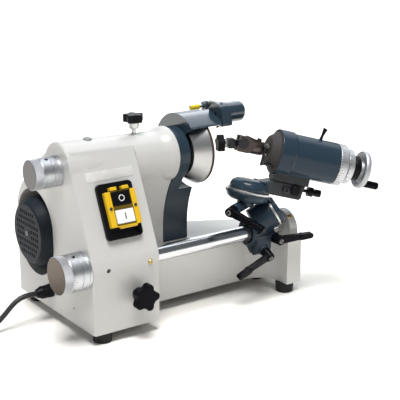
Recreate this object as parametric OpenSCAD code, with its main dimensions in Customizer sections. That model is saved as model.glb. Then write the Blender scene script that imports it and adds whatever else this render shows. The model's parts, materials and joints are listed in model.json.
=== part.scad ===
// Bench tool and cutter grinder: headstock with motor and cup wheel, guide bar with a swivelling workhead.
// Millimetres, +Z up. Lengths along the machine count from the headstock's left face, depths from its
// front face and heights from the bench. The finished part is moved so that the point midway between
// the two front feet, on the bench, is its origin.

/* [Casting] */
// Width of the front block along the machine
block_w = 102; // [98:1:106]
// Length of the headstock, up to the belt cover
head_l = 170.5; // [168:0.5:174]
// Depth of the headstock from front to back
head_d = 216; // [212:1:224]
// Height where the front panel starts to lean back
fold_z = 108; // [104:1:112]
// Lean of the front panel above the horizontal, degrees
panel_angle = 66.3; // [64:0.1:69]
// Length of the leaning panel up to the barrel
panel_l = 151; // [146:1:154]
// Overall length of the casting
base_l = 352; // [350:1:360]
// Height of the bed's top above the bench
bed_top = 85; // [80:1:86]
// How far the bed's front face lies behind the front block
beam_y = 54; // [51:1:58]
// Radius of the hollow sweep from the bed to the end pillar
sweep_r = 38; // [30:1:42]
// Depth of the bed's right-hand end
bed_end_d = 112; // [104:1:120]
// Left face of the end pillar at the bed
pillar_x = 326; // [325:1:330]
// Radius of the barrel at its left end
barrel_r = 38; // [36:0.5:39]
// Radius of the barrel's narrow waist
waist_r = 34; // [32:0.5:35]
// Radius of the barrel's flange at the belt cover
flange_r = 38.6; // [38:0.2:40]
// Depth of the neck's front face below the barrel
neck_y = 95; // [92:1:98]
// Radius of the rounded back over the motor
back_r = 75; // [72:1:78]

/* [Feet] */
// Height of a rubber foot
foot_h = 15; // [12:1:18]
// Diameter of a foot where it meets the casting
foot_d = 28; // [26:1:29]
// Place of the left feet along the machine
foot_x = 20; // [18:1:26]
// Spacing of the front feet
foot_span = 314; // [308:1:316]
// Depth of the front feet
foot_y = 15; // [15:1:20]
// Depth of the rear left foot
foot_back_y = 198; // [185:1:200]
// Depth of the rear right foot
foot_end_y = 85; // [75:1:90]
// Radius of the threaded insert under each foot
insert_r = 4; // [3:0.5:4.5]

/* [Spindle and wheel] */
// Depth of the spindle axis
spindle_y = 88; // [87:0.5:89]
// Height of the spindle axis
spindle_z = 220; // [219:0.5:222]
// Radius of the sliding quill
quill_r = 22; // [20:0.5:23]
// Radius of the spindle
spindle_r = 10; // [8:0.5:11]
// Diameter of the cup wheel
wheel_d = 100; // [96:1:101]
// Width of the abrasive rim's face
rim_w = 8; // [5:0.5:9]
// Radial gap between the wheel and its hood
hood_gap = 2; // [1.5:0.1:3]
// Thickness of the hood
hood_t = 2.5; // [2:0.1:3]
// Width of the belt cover's ring
cover_w = 19; // [18:0.5:20]
// Wall of the belt cover
cover_t = 3; // [2:0.2:3.4]
// Length of the belt cover's wide foot
cover_foot_l = 43; // [38:1:45]

/* [Motor] */
// Depth of the motor axis
motor_y = 160; // [158:0.5:162]
// Height of the motor axis
motor_z = 117; // [116:0.5:119]
// Radius of the fan cover
fan_cover_r = 50; // [48:0.5:51]
// Half-width of the upright opening round the motor
motor_hole_r = 53; // [52.5:0.5:54]
// Play of the motor in its opening, for belt tension
motor_play = 18; // [14:1:20]
// Spindle pulley's size as a share of the motor pulley's
belt_ratio = 0.54; // [0.5:0.01:0.6]
// Thickness of the flat belt
belt_t = 2; // [1.5:0.1:2.5]

/* [Guide bar] */
// Depth of the bar's axis
bar_y = 25; // [24:0.5:26]
// Height of the bar's axis
bar_z = 100; // [99:0.5:101]
// Diameter of the bar
bar_d = 22; // [20:0.5:23]
// Left end of the carriage on the bar
carriage_x = 268; // [266:0.5:270]
// Length of the carriage on the bar
carriage_l = 36; // [34:0.5:37]
// Outer radius of the carriage round the bar
carriage_r = 20; // [18.5:0.5:21]

/* [Swivels] */
// Tilt of the upper swivel's axis to the right, degrees
head_tilt = 16; // [14:0.5:17]
// Turn of the workhead towards the front, degrees
head_turn = 22; // [20:0.5:24]
// Place along the machine where the work axis crosses the upper swivel's axis
cross_x = 288; // [287:0.5:290]
// Height of that crossing
cross_z = 223.5; // [223:0.5:225]
// Rise of the lower swivel's axis, degrees
relief_rise = 30; // [28:0.5:32]
// Radius of the lower swivel's boss
boss_r = 22; // [20:0.5:22.5]
// Radius of the upper swivel's dome
dome_r = 28.5; // [27:0.5:30]
// Thickness of a graduated ring
scale_t = 3.2; // [2.6:0.2:3.4]

/* [Workhead] */
// Radius of the workhead's front band
head_r = 32.5; // [31.5:0.5:33]
// Radius of the workhead's barrel
head_barrel_r = 30.5; // [30:0.5:31.5]
// Length of the workhead
work_l = 103; // [101:1:105]
// Radius of the work spindle
work_r = 16; // [14:0.5:16.5]
// Radius of the large index ring
index_large_r = 30.5; // [29:0.5:31.5]
// Radius of the small index ring
index_small_r = 25.5; // [24:0.5:27]
// Radius of the handwheel
handwheel_r = 27.5; // [25:0.5:29]
// Radius of the crank pin's circle
crank_r = 19; // [17:0.5:20]
// Bore of the work spindle
collet_r = 6; // [5:0.5:6.5]

/* [Controls] */
// Radius of the upper dial
upper_dial_r = 20.5; // [19.5:0.5:22]
// Radius of the lower dial
lower_dial_r = 25.5; // [24:0.5:27]
// Length of each dial with its sleeve
dial_l = 40; // [36:1:42]
// Radius of the front clamp knob
front_knob_r = 19; // [17:0.5:20]
// Radius of the barrel clamp knob
top_knob_r = 14.5; // [13:0.5:16]
// Length of a clamp lever's arm
lever_l = 54; // [46:1:58]
// Width of the switch plate
plate_w = 54; // [52:1:58]
// Height of the switch plate
plate_h = 75; // [72:1:80]
// Travel of a push button
button_travel = 3; // [2:0.5:3.5]

/* [Dresser] */
// Depth of the dresser's pivot
dresser_y = 66; // [64:0.5:67]
// Height of the dresser's pivot
dresser_z = 270.7; // [270:0.5:273]
// Radius of the dresser's boss
dresser_r = 16; // [14:0.5:17]
// Reach of the dresser's arm
dresser_reach = 64; // [63:0.5:66]

/* [Cord] */
// Diameter of the mains cord
cord_d = 7; // [6:0.5:7]
// Turns of the stored coil, half of them in each layer
coil_turns = 6; // [4:2:6]

/* [Fits] */
// Radial clearance of shafts and pins
fit = 0.05; // [0.03:0.01:0.08]
// Gap between faces that move past each other
gap = 0.3; // [0.3:0.05:0.5]

/* [Hidden] */
$fn = 64;

// Derived places and sizes
base_z = foot_h;
bar_r = bar_d / 2;
spindle = [spindle_y, spindle_z];
motor = [motor_y, motor_z];
bar = [bar_y, bar_z];
back = [head_d - back_r, 128.5];
sweep_z = 107;
fold_r = 40;
cover_x = head_l + cover_w;
wheel_r = wheel_d / 2;
wheel_x = cover_x + 6.5;
cup_back = 7;
cup_depth = 21;
rim_t = 4;
rim_x = wheel_x + cup_depth;
hood_r = wheel_r + hood_gap;
hood_l = 42;
hood_edge = [-38, 38];
hood_back = [50, -14];
quill_x = 10;
quill_end = head_l - 2.5;
pulley_x = head_l + 2.5;
pulley_w = 11;
belt_x = pulley_x + 3;
belt_w = 5;
large_pulley_r = motor_z - bed_top - 6;
small_pulley_r = belt_ratio * large_pulley_r;
motor_l = 148;
motor_face = 45;
fan_face = -12;
shaft_r = 7;
screw_r = 4;
sleeve_l = 13;
bar_x = 3;
bar_end = 334;
pillar_top_l = 4;
pillar_top_r = 11;
bore_end = 338;
bush_r = bar_r + 3;
crossing = [cross_x, bar_y, cross_z];
relief_axis = [cos(relief_rise) * cos(head_turn), -cos(relief_rise) * sin(head_turn), sin(relief_rise)];
relief_at = [carriage_x + 37, bar_y - 10.6, bar_z + 27.5];
boss_l = 30;
spigot_r = 8;
// Heights on the upper swivel's axis, below the work axis
dome_z = -61.9;
scale_z = dome_z - gap;
cup_z = scale_z - scale_t;
// Stations along the work axis, from the swivel's axis
nose_u = 13;
nose_r = 9;
work_end = nose_u + work_l;
ring_u = work_end + 0.4;
rail_z = -40;
rail_top = -33;
rail_w = 9;
rail_flare = 2;
lever_u = 88;
pivot_u = -27;
pivot_z = 2;
boss_x = 242;
boss_end = boss_x + 16;
arm_x = boss_end + gap;
rod_at = [dresser_y + dresser_reach * cos(1.5), dresser_z - dresser_reach * sin(1.5)];
rod_holder_x = arm_x + 8;
hood_front_l = boss_x - cover_x + 1;
hood_lip = spindle + hood_edge;
lip_r = 3;
rod_r = 3;
panel_at = [55.6, 68.5];
plate_t = 6;
switch_t = 7;
stop_at = [1.9, 14.5];
start_at = [1.9, -9.5];
button_w = 27;
button_h = 18;
gland_at = [118, 43];
gland_l = 24;
cord_r = cord_d / 2;
// The cord's free run from the gland to the coil: [along, depth, height]
cord_route = [[-24, 118, 43], [-32, 118, 43.4], [-40, 118, 43.2], [-48, 118, 41.5], [-55, 118, 38],
    [-61, 118, 33.5], [-67, 118, 28], [-73, 118, 22.5], [-80, 117.8, 17], [-88, 117.3, 12.2],
    [-97, 116.7, 8.6], [-107, 116, 6.2], [-116, 115.6, 5], [-123, 115.5, 4.7]];
coil_step = 7.6;
coil_out = 49.4;
coil_at = [-130, 164.9];
coil_z = 4.7;
coil_end = 30;
tie_t = 0.9;
route_end = cord_route[len(cord_route) - 1];
plug_x = coil_at[0] - coil_end;
oiler_x = 87.7;
pillar_oiler = [pillar_x + 8, bar_y, bar_z];
oiler_r = 3;
oiler_tilt = 45;
top_knob_x = 119.5;
front_knob_at = [67, 61];
stud_r = 3;
lug = [bar_y - 7, bar_z - 21];
lug_r = 12;
lug_x = carriage_x + 6;
lug_axis = [0, -0.9, -0.43];
lug_lever = [lug_x + 14, lug[0], lug[1]];
relief_lever_at = [carriage_x + 34, bar_y - carriage_r - 3, bar_z - 7];
relief_lever_axis = [0, -0.99, -0.14];
lug_l = 26;
taper_lever_axis = [-0.9, -0.44, 0];
taper_boss_l = 36;
taper_z = -82;
taper_lever_at = crossing + taper_z * [sin(head_tilt), 0, cos(head_tilt)] + taper_boss_l * taper_lever_axis;
bracket_u = 78;
bracket_v = 14;
clamp_u = 64;
clamp_z = -48;
stop_z = -47;
saddle_v = 16;
saddle_l = 52;
notch_v = 4.5;
notch_floor = 20.5;
rest_at = [5, -14, -20];
holder_v = 11;
holder_low = -10.5;
sleeve_r = 7.8;
clevis_tilt = 14;
knob_u = -21.4;
holder_top = 12;
fork_v = 4;

function unit(v) = v / norm(v);
// Both ends of the straight line that touches two circles on one side
function tangent(a, ra, b, rb, side) =
    let (t = atan2(b[1] - a[1], b[0] - a[0]) + side * acos((ra - rb) / norm(b - a)), n = [cos(t), sin(t)])
    [a + ra * n, b + rb * n];
// Place of the coil's centre line after t turns
function coil_point(t) =
    let (half = coil_turns / 2, r = coil_out - coil_step * (half - abs(half - t)),
        c = min(1, max(0, (t - half) * 2 + 0.5)), a = -90 - 360 * t)
    [coil_at[0] + r * cos(a), coil_at[1] + r * sin(a), coil_z + coil_step * c * c * (3 - 2 * c)];
coil_steps = 24 * coil_turns;
coil_path = concat([route_end], [for (i = [0:coil_steps]) coil_point(i / 24)],
    [coil_point(coil_turns) - [coil_end / 2, 0, 0], coil_point(coil_turns) - [coil_end, 0, 0]]);
// Least gap of the coil to itself, more than half a turn apart along it
coil_gap = min([for (i = [0:len(coil_path) - 1]) for (j = [i + 12:1:len(coil_path) - 1])
    norm(coil_path[i] - coil_path[j])]) - cord_d;
echo(coil_gap = coil_gap);

// Moves the machine so that the middle of its front feet is the origin
module bench() {
    translate([-foot_x - foot_span / 2, -foot_y, 0]) children();
}

// Turns a shape's own z axis along the machine, from x on an axis given by depth and height
module on_x(x, at) {
    translate([x, at[0], at[1]]) rotate([0, 90, 0]) children();
}

// Turns a shape's own z axis towards the front
module on_front(p) {
    translate(p) rotate([90, 0, 0]) children();
}

// Extrudes an outline of depth and height along the machine
module side_on(x, l) {
    translate([x, 0, 0]) rotate([90, 0, 90]) linear_extrude(l) children();
}

// Turns a shape's own z axis from p along d
module aim(p, d) {
    translate(p) rotate([0, acos(d[2] / norm(d)), atan2(d[1], d[0])]) children();
}

// Frame of the upper swivel: z along its axis, origin on the work axis
module tilted() {
    translate(crossing) rotate([0, head_tilt, 0]) children();
}

// Frame of the workhead: x along the work axis to the handwheel, z along the swivel's axis
module headed() {
    tilted() rotate([0, 0, -head_turn]) children();
}

// Revolves an outline of radius and length about the work axis
module turned(points) {
    headed() rotate([0, 90, 0]) rotate_extrude() polygon(points);
}

// Frame of the front panel: x along the machine, y up the slope, z out of it
module panelled() {
    translate([panel_at[0], 0, fold_z]) rotate([panel_angle, 0, 0]) translate([0, panel_at[1], 0])
        children();
}

module ring(r, hole, l) {
    difference() {
        cylinder(r = r, h = l);
        translate([0, 0, -1]) cylinder(r = hole, h = l + 2);
    }
}

// Outline round two circles
module two_circles(a, ra, b, rb) {
    p = tangent(a, ra, b, rb, 1);
    q = tangent(a, ra, b, rb, -1);
    translate(a) circle(ra);
    translate(b) circle(rb);
    polygon([p[0], p[1], q[1], q[0]]);
}

module rounded(w, h, r) {
    square([w, h - 2 * r], center = true);
    square([w - 2 * r, h], center = true);
    for (x = [-1, 1], y = [-1, 1]) translate([x * (w / 2 - r), y * (h / 2 - r)]) circle(r);
}

// Five-lobed clamp knob on a hub and stud
module star_knob(r, h, hub_r, hub_h, stud_r, stud_l) {
    translate([0, 0, -stud_l]) cylinder(r = stud_r, h = stud_l + 1);
    cylinder(r1 = hub_r, r2 = hub_r * 1.15, h = hub_h + 1);
    translate([0, 0, hub_h]) linear_extrude(h) {
        circle(0.74 * r);
        for (i = [0:4]) rotate(72 * i) translate([0.7 * r, 0]) circle(0.3 * r);
    }
}

// Clamp lever: stud, hub with a sunk screw, and an arm that rises along x
module clamp_lever(stud_l) {
    hub_r = 7;
    hub_h = 16;
    translate([0, 0, -stud_l]) cylinder(r = screw_r, h = stud_l + 1);
    difference() {
        union() {
            cylinder(r1 = hub_r + 0.6, r2 = hub_r - 0.6, h = hub_h);
            translate([0, 0, 7]) rotate([0, -5, 0]) linear_extrude(7) two_circles([0, 0], 6,
                [lever_l * 0.7, 0], 4.2);
            translate([0, 0, 7.4]) rotate([0, -5, 0]) linear_extrude(8.5)
                two_circles([lever_l * 0.72, 0], 4.6, [lever_l, 0], 4.2);
        }
        translate([0, 0, hub_h - 3]) cylinder(r = 4.2, h = 4);
    }
    translate([0, 0, hub_h - 4]) cylinder(r = 3.4, h = 3.4);
}

// Puts a clamp lever's hub at p along its axis, with its arm as near the given direction as it can be
module seat_lever(p, axis, arm, stud_l) {
    d = unit(axis);
    t = acos(d[2]);
    a = atan2(d[1], d[0]);
    spin = atan2(arm * [-sin(a), cos(a), 0], arm * [cos(t) * cos(a), cos(t) * sin(a), -sin(t)]);
    aim(p, d) rotate(spin) clamp_lever(stud_l);
}

// Tube of one size along a list of points
module swept(path, r, sides) {
    n = len(path);
    points = [for (i = [0:n - 1])
        let (d = unit(path[min(n - 1, i + 1)] - path[max(0, i - 1)]), s = unit(cross([0, 0, 1], d)),
            u = cross(d, s))
        for (k = [0:sides - 1]) path[i] + r * (cos(360 * k / sides) * s + sin(360 * k / sides) * u)];
    faces = concat([[for (k = [0:sides - 1]) sides - 1 - k]],
        [for (i = [0:n - 2]) for (k = [0:sides - 1]) let (a = i * sides + k, b = i * sides + (k + 1)
            % sides)
            each [[a, b, b + sides], [a, b + sides, a + sides]]],
        [[for (k = [0:sides - 1]) (n - 1) * sides + k]]);
    polyhedron(points, faces);
}

// Outline of the headstock's back half, drawn in by an inset: up the neck's front, round its hollow
// curve and a circle of radius r at the spindle, and down the rounded back
module back_outline(r, inset, low) {
    drop = spindle_z - sweep_z;
    in = spindle_y - neck_y;
    hollow_r = (in * in + drop * drop - r * r) / (2 * (r - in));
    hollow = [neck_y - hollow_r, sweep_z];
    f = atan2(drop, spindle_y - hollow[0]);
    g = atan2(back[1] - spindle_z, back[0] - spindle_y) + acos((r - back_r) / norm(back - spindle));
    polygon(concat([[neck_y + inset, low]],
        [for (i = [0:11]) let (a = f * i / 12) hollow + (hollow_r + inset) * [cos(a), sin(a)]],
        [for (i = [0:24]) let (a = f + 180 + (g - f - 180) * i / 24) spindle + (r - inset) * [cos(a),
            sin(a)]],
        [for (i = [0:12]) let (a = g * (1 - i / 12)) back + (back_r - inset) * [cos(a), sin(a)]],
        [[head_d - inset, low]]));
}

module front_block() {
    lean = 90 - panel_angle;
    low = fold_z - fold_r * tan(lean / 2);
    side_on(0, block_w) polygon(concat([[0, base_z]],
        [for (i = [0:6]) [fold_r * (1 - cos(lean * i / 6)), low + fold_r * sin(lean * i / 6)]],
        [[panel_l * cos(panel_angle), fold_z + panel_l * sin(panel_angle)], spindle, [neck_y + 5,
            spindle_z],
            [neck_y + 5, base_z]]));
}

module barrel() {
    flare = 23;
    start = head_l - 2.5 - flare;
    on_x(0, spindle) rotate_extrude() polygon(concat([[0, 0], [barrel_r - 2, 0], [barrel_r, 2]],
        [for (i = [0:8]) [waist_r + (flange_r - waist_r) * (1 - cos(22.5 * i)) / 2, start + flare * i / 8]],
        [[flange_r, head_l], [0, head_l]]));
}

module bed_plan(inset) {
    r = sweep_r + inset;
    c = [pillar_x - sweep_r, beam_y - sweep_r];
    polygon(concat([[block_w - 10 + inset, beam_y + inset]],
        [for (i = [0:9]) c + r * [cos(90 - 10 * i), sin(90 - 10 * i)]],
        [[pillar_x + inset, inset], [base_l - inset, inset], [base_l - inset, bed_end_d - inset],
            [head_l, head_d - 10 - inset], [block_w - 10 + inset, head_d - 10 - inset]]));
}

module pillar() {
    top = bar_z + bar_y + 1;
    intersection() {
        side_on(pillar_x - 1, base_l - pillar_x + 2) {
            translate(bar) circle(bar_y);
            translate([0, base_z]) square([2 * bar_y, bar_z - base_z]);
        }
        translate([0, 3 * bar_y, 0]) rotate([90, 0, 0]) linear_extrude(4 * bar_y)
            polygon([[pillar_x, base_z], [base_l, base_z], [base_l - pillar_top_r, top],
                [pillar_x + pillar_top_l, top]]);
    }
}

module motor_opening() {
    h = motor_play / 2;
    translate([motor_y, motor_z - h]) circle(motor_hole_r);
    translate([motor_y, motor_z + h]) circle(motor_hole_r);
    translate([motor_y - motor_hole_r, motor_z - h]) square([2 * motor_hole_r, motor_play]);
}

// Cast frame: front block, barrel, motor housing, bed and end pillar in one piece
module machine_frame() {
    color("whitesmoke") bench() difference() {
        union() {
            front_block();
            barrel();
            side_on(0, head_l) back_outline(waist_r - 0.3, 0, base_z);
            translate([0, 0, base_z]) linear_extrude(bed_top - base_z) bed_plan(0);
            pillar();
        }
        on_x(-1, spindle) cylinder(r = 10, h = head_l);
        on_x(5, spindle) cylinder(r = quill_r + fit, h = head_l);
        on_x(-1, bar) cylinder(r = bar_r + fit, h = block_w + 2);
        on_x(pillar_x - 5, bar) cylinder(r = bar_r + fit, h = bore_end - pillar_x + 5);
        side_on(-1, motor_l + 1) motor_opening();
        side_on(motor_l - 1, head_l - motor_l + 2) translate(motor) circle(22);
        on_front([oiler_x, 6, bar_z + 1]) cylinder(r = oiler_r + fit, h = 20);
        translate(pillar_oiler) rotate([oiler_tilt, 0, 0]) translate([0, 0, bar_y - 6])
            cylinder(r = oiler_r + fit, h = 20);
        on_front([24, 10, bar_z + 1]) cylinder(r = 3, h = 20);
        on_front([front_knob_at[0], 12, front_knob_at[1]]) cylinder(r = screw_r + fit, h = 20);
        translate([top_knob_x, spindle_y, spindle_z]) cylinder(r = stud_r + fit, h = 60);
        on_x(-1, gland_at) cylinder(r = 6 + fit, h = 11);
        on_x(-1, [55, 37]) cylinder(r = 1.6, h = 9);
        translate([40, 16, base_z - 1]) cube([block_w - 52, 58, 56]);
        translate([0, 0, base_z - 1]) linear_extrude(56) difference() {
            bed_plan(14);
            square([motor_l + 8, head_d]);
            translate([pillar_x - 40, 0]) square([100, head_d]);
        }
    }
}

module rubber_feet() {
    places = [[0, foot_y], [foot_span, foot_y], [0, foot_back_y], [foot_span, foot_end_y]];
    color("#1a1a1a") bench() for (p = places) translate([foot_x + p[0], p[1], 0]) difference() {
        cylinder(r1 = foot_d / 2 - 1.5, r2 = foot_d / 2, h = foot_h);
        translate([0, 0, -1]) cylinder(r = insert_r, h = foot_h - 5);
    }
}

module belt_cover() {
    wide = cover_foot_l - cover_w;
    step_z = spindle_z - 48;
    color("#2f3a44") bench() difference() {
        union() {
            side_on(head_l, cover_w) back_outline(flange_r - 1.6, 0, bed_top);
            intersection() {
                side_on(head_l, cover_foot_l) back_outline(flange_r - 1.6, 0, bed_top);
                translate([head_l, 0, 0]) cube([cover_foot_l, head_d, step_z]);
            }
        }
        side_on(head_l - 1, cover_w - cover_t + 1) back_outline(flange_r - 1.6, cover_t, bed_top - 1);
        intersection() {
            side_on(head_l - 1, cover_foot_l - cover_t + 1) back_outline(flange_r - 1.6, cover_t,
                bed_top - 1);
            translate([head_l - 1, 0, 0]) cube([cover_foot_l, head_d, spindle_z - hood_r - 3 - cover_t]);
        }
        on_x(cover_x, spindle) cylinder(r = hood_r + 3, h = wide + 1);
        on_x(head_l, spindle) cylinder(r = spindle_r + 2.5, h = cover_w + 1);
    }
}

// Part of the hood's circle above its front and back edges
module hood_outline(r) {
    intersection() {
        translate(spindle) circle(r);
        polygon([spindle + hood_edge, spindle + 2.5 * hood_edge, spindle + [2.5 * hood_back[0],
            -2.5 * hood_edge[0] * 2],
            spindle + 2.5 * hood_back, spindle + hood_back]);
    }
}

module wheel_hood() {
    color("#46545f") bench() {
        difference() {
            union() {
                side_on(cover_x, hood_l) hood_outline(hood_r + hood_t);
                intersection() {
                    side_on(cover_x, hood_front_l) hood_outline(hood_r + hood_t);
                    cube([cover_x + hood_front_l, spindle_y - 2, 400]);
                }
                side_on(boss_x, boss_end - boss_x)
                    two_circles([dresser_y, dresser_z], dresser_r, hood_lip, lip_r);
            }
            on_x(cover_x + cover_t, spindle) cylinder(r = hood_r, h = boss_x - cover_x - cover_t);
            on_x(boss_x - 0.5, spindle) cylinder(r = hood_r - 12, h = 30);
            on_x(cover_x - 1, spindle) cylinder(r = 27, h = 10);
            on_x(boss_x - 1, [dresser_y, dresser_z]) cylinder(r = 2, h = 6);
            on_x(boss_end - 12, [dresser_y, dresser_z]) cylinder(r = 5 + fit, h = 14);
        }
    }
}

module motor_housing() {
    color("slategray") bench() on_x(0, motor) difference() {
        union() {
            translate([0, 0, motor_face]) cylinder(r = fan_cover_r, h = 7);
            translate([0, 0, motor_face + 6]) cylinder(r = fan_cover_r - 6, h = motor_l - motor_face - 6);
            translate([0, 0, motor_l - 8]) cylinder(r = fan_cover_r - 3, h = 8);
            for (i = [0:23]) rotate(15 * i) translate([0, -1, motor_face + 6]) cube([fan_cover_r - 2.5,
                2, 80]);
        }
        translate([0, 0, motor_face - 1]) cylinder(r = shaft_r + fit, h = motor_l);
    }
}

// Vented cap: a bevelled cup whose face has rows of upright slots round its centre screw
module fan_cover() {
    face_r = fan_cover_r - 9;
    wall = 2;
    pitch_y = 6;
    pitch_z = 8.2;
    slot = [3.2, 5.2];
    color("#46545f") bench() on_x(0, motor) difference() {
        rotate_extrude() polygon([[0, fan_face], [face_r, fan_face], [face_r + 1.5, fan_face + 1],
            [fan_cover_r, fan_face + 16],
            [fan_cover_r, motor_face], [fan_cover_r - wall, motor_face], [fan_cover_r - wall,
                fan_face + 17],
            [face_r - 0.5, fan_face + wall], [0, fan_face + wall]]);
        translate([0, 0, fan_face - 1]) cylinder(r = 2, h = 10);
        for (row = [-3.5:1:3.5]) {
            y_max = sqrt(max(0, pow(face_r - 6, 2) - pow(row * pitch_z, 2)));
            n = floor(y_max / pitch_y);
            for (i = [-n:n]) if (abs(row) > 1 || abs(i) > 1)
                translate([row * pitch_z, i * pitch_y, fan_face]) cube([slot[1], slot[0], 3 * wall],
                    center = true);
        }
    }
}

// Outline of the belt round its two pulleys, drawn out by a distance
function belt_outline(out) =
    let (a = spindle, b = motor, ra = small_pulley_r + out, rb = large_pulley_r + out,
        t = atan2(b[1] - a[1], b[0] - a[0]), f = acos((ra - rb) / norm(b - a)))
    concat([for (i = [0:16]) let (g = t + f + (360 - 2 * f) * i / 16) a + ra * [cos(g), sin(g)]],
        [for (i = [0:16]) let (g = t - f + 2 * f * i / 16) b + rb * [cos(g), sin(g)]]);

module drive_belt() {
    color("#222222") bench() side_on(belt_x, belt_w) difference() {
        polygon(belt_outline(gap + belt_t));
        polygon(belt_outline(gap));
    }
}

module oil_cup() {
    translate([0, 0, -5]) cylinder(r = oiler_r, h = 5.5);
    difference() {
        cylinder(r1 = oiler_r + 0.8, r2 = oiler_r, h = 1.6);
        translate([0, 0, 0.8]) cylinder(r = 1.4, h = 2);
    }
}

module oil_cups() {
    color("darkgoldenrod") bench() {
        on_front([oiler_x, 0, bar_z + 1]) oil_cup();
        translate(pillar_oiler) rotate([oiler_tilt, 0, 0]) translate([0, 0, bar_y]) oil_cup();
    }
}

module switch_plate() {
    color("#24272b") bench() panelled() difference() {
        linear_extrude(plate_t) rounded(plate_w, plate_h, 6);
        for (p = [stop_at, start_at]) translate([p[0], p[1], 1]) linear_extrude(plate_t)
            square([button_w + 2 * gap, button_h + 2 * gap], center = true);
        translate([stop_at[0], 4 - plate_h / 2, plate_t - 2]) cylinder(r = 2, h = 3);
    }
}

module switch_frame() {
    frame_w = 46;
    frame_h = 47;
    color("gold") bench() panelled() translate([stop_at[0], 1.5, plate_t]) difference() {
        union() {
            linear_extrude(switch_t) rounded(frame_w, frame_h, 1.5);
            for (x = [-9, 9]) translate([x, frame_h / 2 + 1.5, 0]) linear_extrude(switch_t + 1)
                rounded(10, 8, 1.5);
            translate([3, -frame_h / 2, switch_t - 3]) rotate([0, 90, 0]) cylinder(r = 3, h = 26,
                center = true);
        }
        for (p = [stop_at, start_at]) translate([0, p[1] - 1.5, -1]) linear_extrude(switch_t + 2)
            square([button_w + 2 * gap, button_h + 2 * gap], center = true);
    }
}

module push_button(at) {
    bottom = 1 + button_travel + gap;
    translate([at[0], at[1], bottom]) linear_extrude(plate_t + switch_t + 1 - bottom)
        square([button_w, button_h], center = true);
}

module stop_button() {
    color("#111111") bench() panelled() push_button(stop_at);
}

module start_button() {
    color("white") bench() panelled() push_button(start_at);
}

module cable_gland() {
    color("#1c1c1c") bench() on_x(0, gland_at) {
        translate([0, 0, -gland_l]) cylinder(r1 = 5.5, r2 = 9, h = 9);
        translate([0, 0, 8 - gland_l]) cylinder(r = 9, h = gland_l - 12);
        translate([0, 0, -5]) cylinder(r = 10.5, h = 5, $fn = 6);
        cylinder(r = 6, h = 9);
    }
}

module power_cord() {
    color("#151515") bench() swept(cord_route, cord_r, 10);
}

module cord_coil() {
    color("#151515") bench() swept(coil_path, cord_r, 6);
}

module coil_tie() {
    inner = coil_out - coil_step * (coil_turns / 2 - 0.25) - cord_r - gap;
    outer = coil_out - coil_step * 0.25 + cord_r + gap;
    top = coil_z + coil_step + cord_r + gap;
    color("#303030") bench() translate([coil_at[0], coil_at[1] - 4, 0]) difference() {
        translate([inner - tie_t, 0, 0]) cube([outer - inner + 2 * tie_t, 8, top + tie_t]);
        translate([inner, -1, tie_t]) cube([outer - inner, 10, top - tie_t]);
    }
}

module mains_plug() {
    color("#1a1a1a") bench() on_x(plug_x, [coil_at[1] - coil_out, coil_z + coil_step]) mirror([0, 0, 1]) {
        cylinder(r1 = cord_r + 0.8, r2 = 6.5, h = 20);
        translate([0, 0, 19]) cylinder(r1 = 8, r2 = 11.5, h = 9);
        translate([0, 0, 27]) cylinder(r = 11.5, h = 24);
        for (y = [-1, 1]) translate([0, 6.5 * y, 50]) cylinder(r = 2.2, h = 19);
    }
}

module dial_sleeve(r, at) {
    color("silver") bench() on_x(-sleeve_l, at) difference() {
        union() {
            cylinder(r = r, h = sleeve_l - 4.5);
            translate([0, 0, sleeve_l - 4.6]) cylinder(r = r - 0.8, h = 1.2);
            translate([0, 0, sleeve_l - 3.5]) cylinder(r = r, h = 3.5);
        }
        translate([0, 0, -1]) cylinder(r = 9, h = sleeve_l + 2);
    }
}

module upper_dial_sleeve() {
    dial_sleeve(upper_dial_r, spindle);
}

module lower_dial_sleeve() {
    dial_sleeve(lower_dial_r, bar);
}

// Feed dial: knurled grip band, graduated band with a set screw hole, and the feed screw
module feed_dial(r, at, screw_end) {
    grip_l = 12;
    color("lightgray") bench() on_x(-dial_l, at) {
        difference() {
            union() {
                cylinder(r1 = r - 1, r2 = r, h = 1);
                translate([0, 0, 1]) cylinder(r = r, h = grip_l - 1);
                translate([0, 0, grip_l - 0.1]) cylinder(r = r - 0.6, h = 1);
                translate([0, 0, grip_l + 0.8]) cylinder(r = r - 0.1,
                    h = dial_l - sleeve_l - gap - grip_l - 0.8);
            }
            translate([-r - 1, 0, grip_l + 5]) rotate([0, 90, 0]) cylinder(r = 1.8, h = 6);
        }
        translate([0, 0, grip_l]) cylinder(r = screw_r, h = screw_end + dial_l - grip_l);
    }
}

module upper_dial() {
    feed_dial(upper_dial_r, spindle, quill_x + 10);
}

module lower_dial() {
    feed_dial(lower_dial_r, bar, bar_x + 25);
}

module spindle_quill() {
    bearing_r = spindle_r + 6;
    color("gray") bench() on_x(quill_x, spindle) difference() {
        cylinder(r = quill_r, h = quill_end - quill_x);
        translate([0, 0, -1]) cylinder(r = screw_r + fit, h = 17);
        translate([0, 0, 15]) cylinder(r = bearing_r, h = quill_end);
    }
}

module spindle_bearings() {
    color("silver") bench() for (x = [32, quill_end - 18])
        on_x(x, spindle) ring(spindle_r + 6 - fit / 2, spindle_r + fit, 10);
}

module grinding_spindle() {
    color("silver") bench() {
        on_x(28, spindle) cylinder(r = spindle_r, h = wheel_x + cup_back + 7.5 - 28);
    }
}

module spindle_pulley() {
    color("dimgray") bench() on_x(pulley_x, spindle) ring(small_pulley_r, spindle_r + fit / 2, pulley_w);
}

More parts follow.
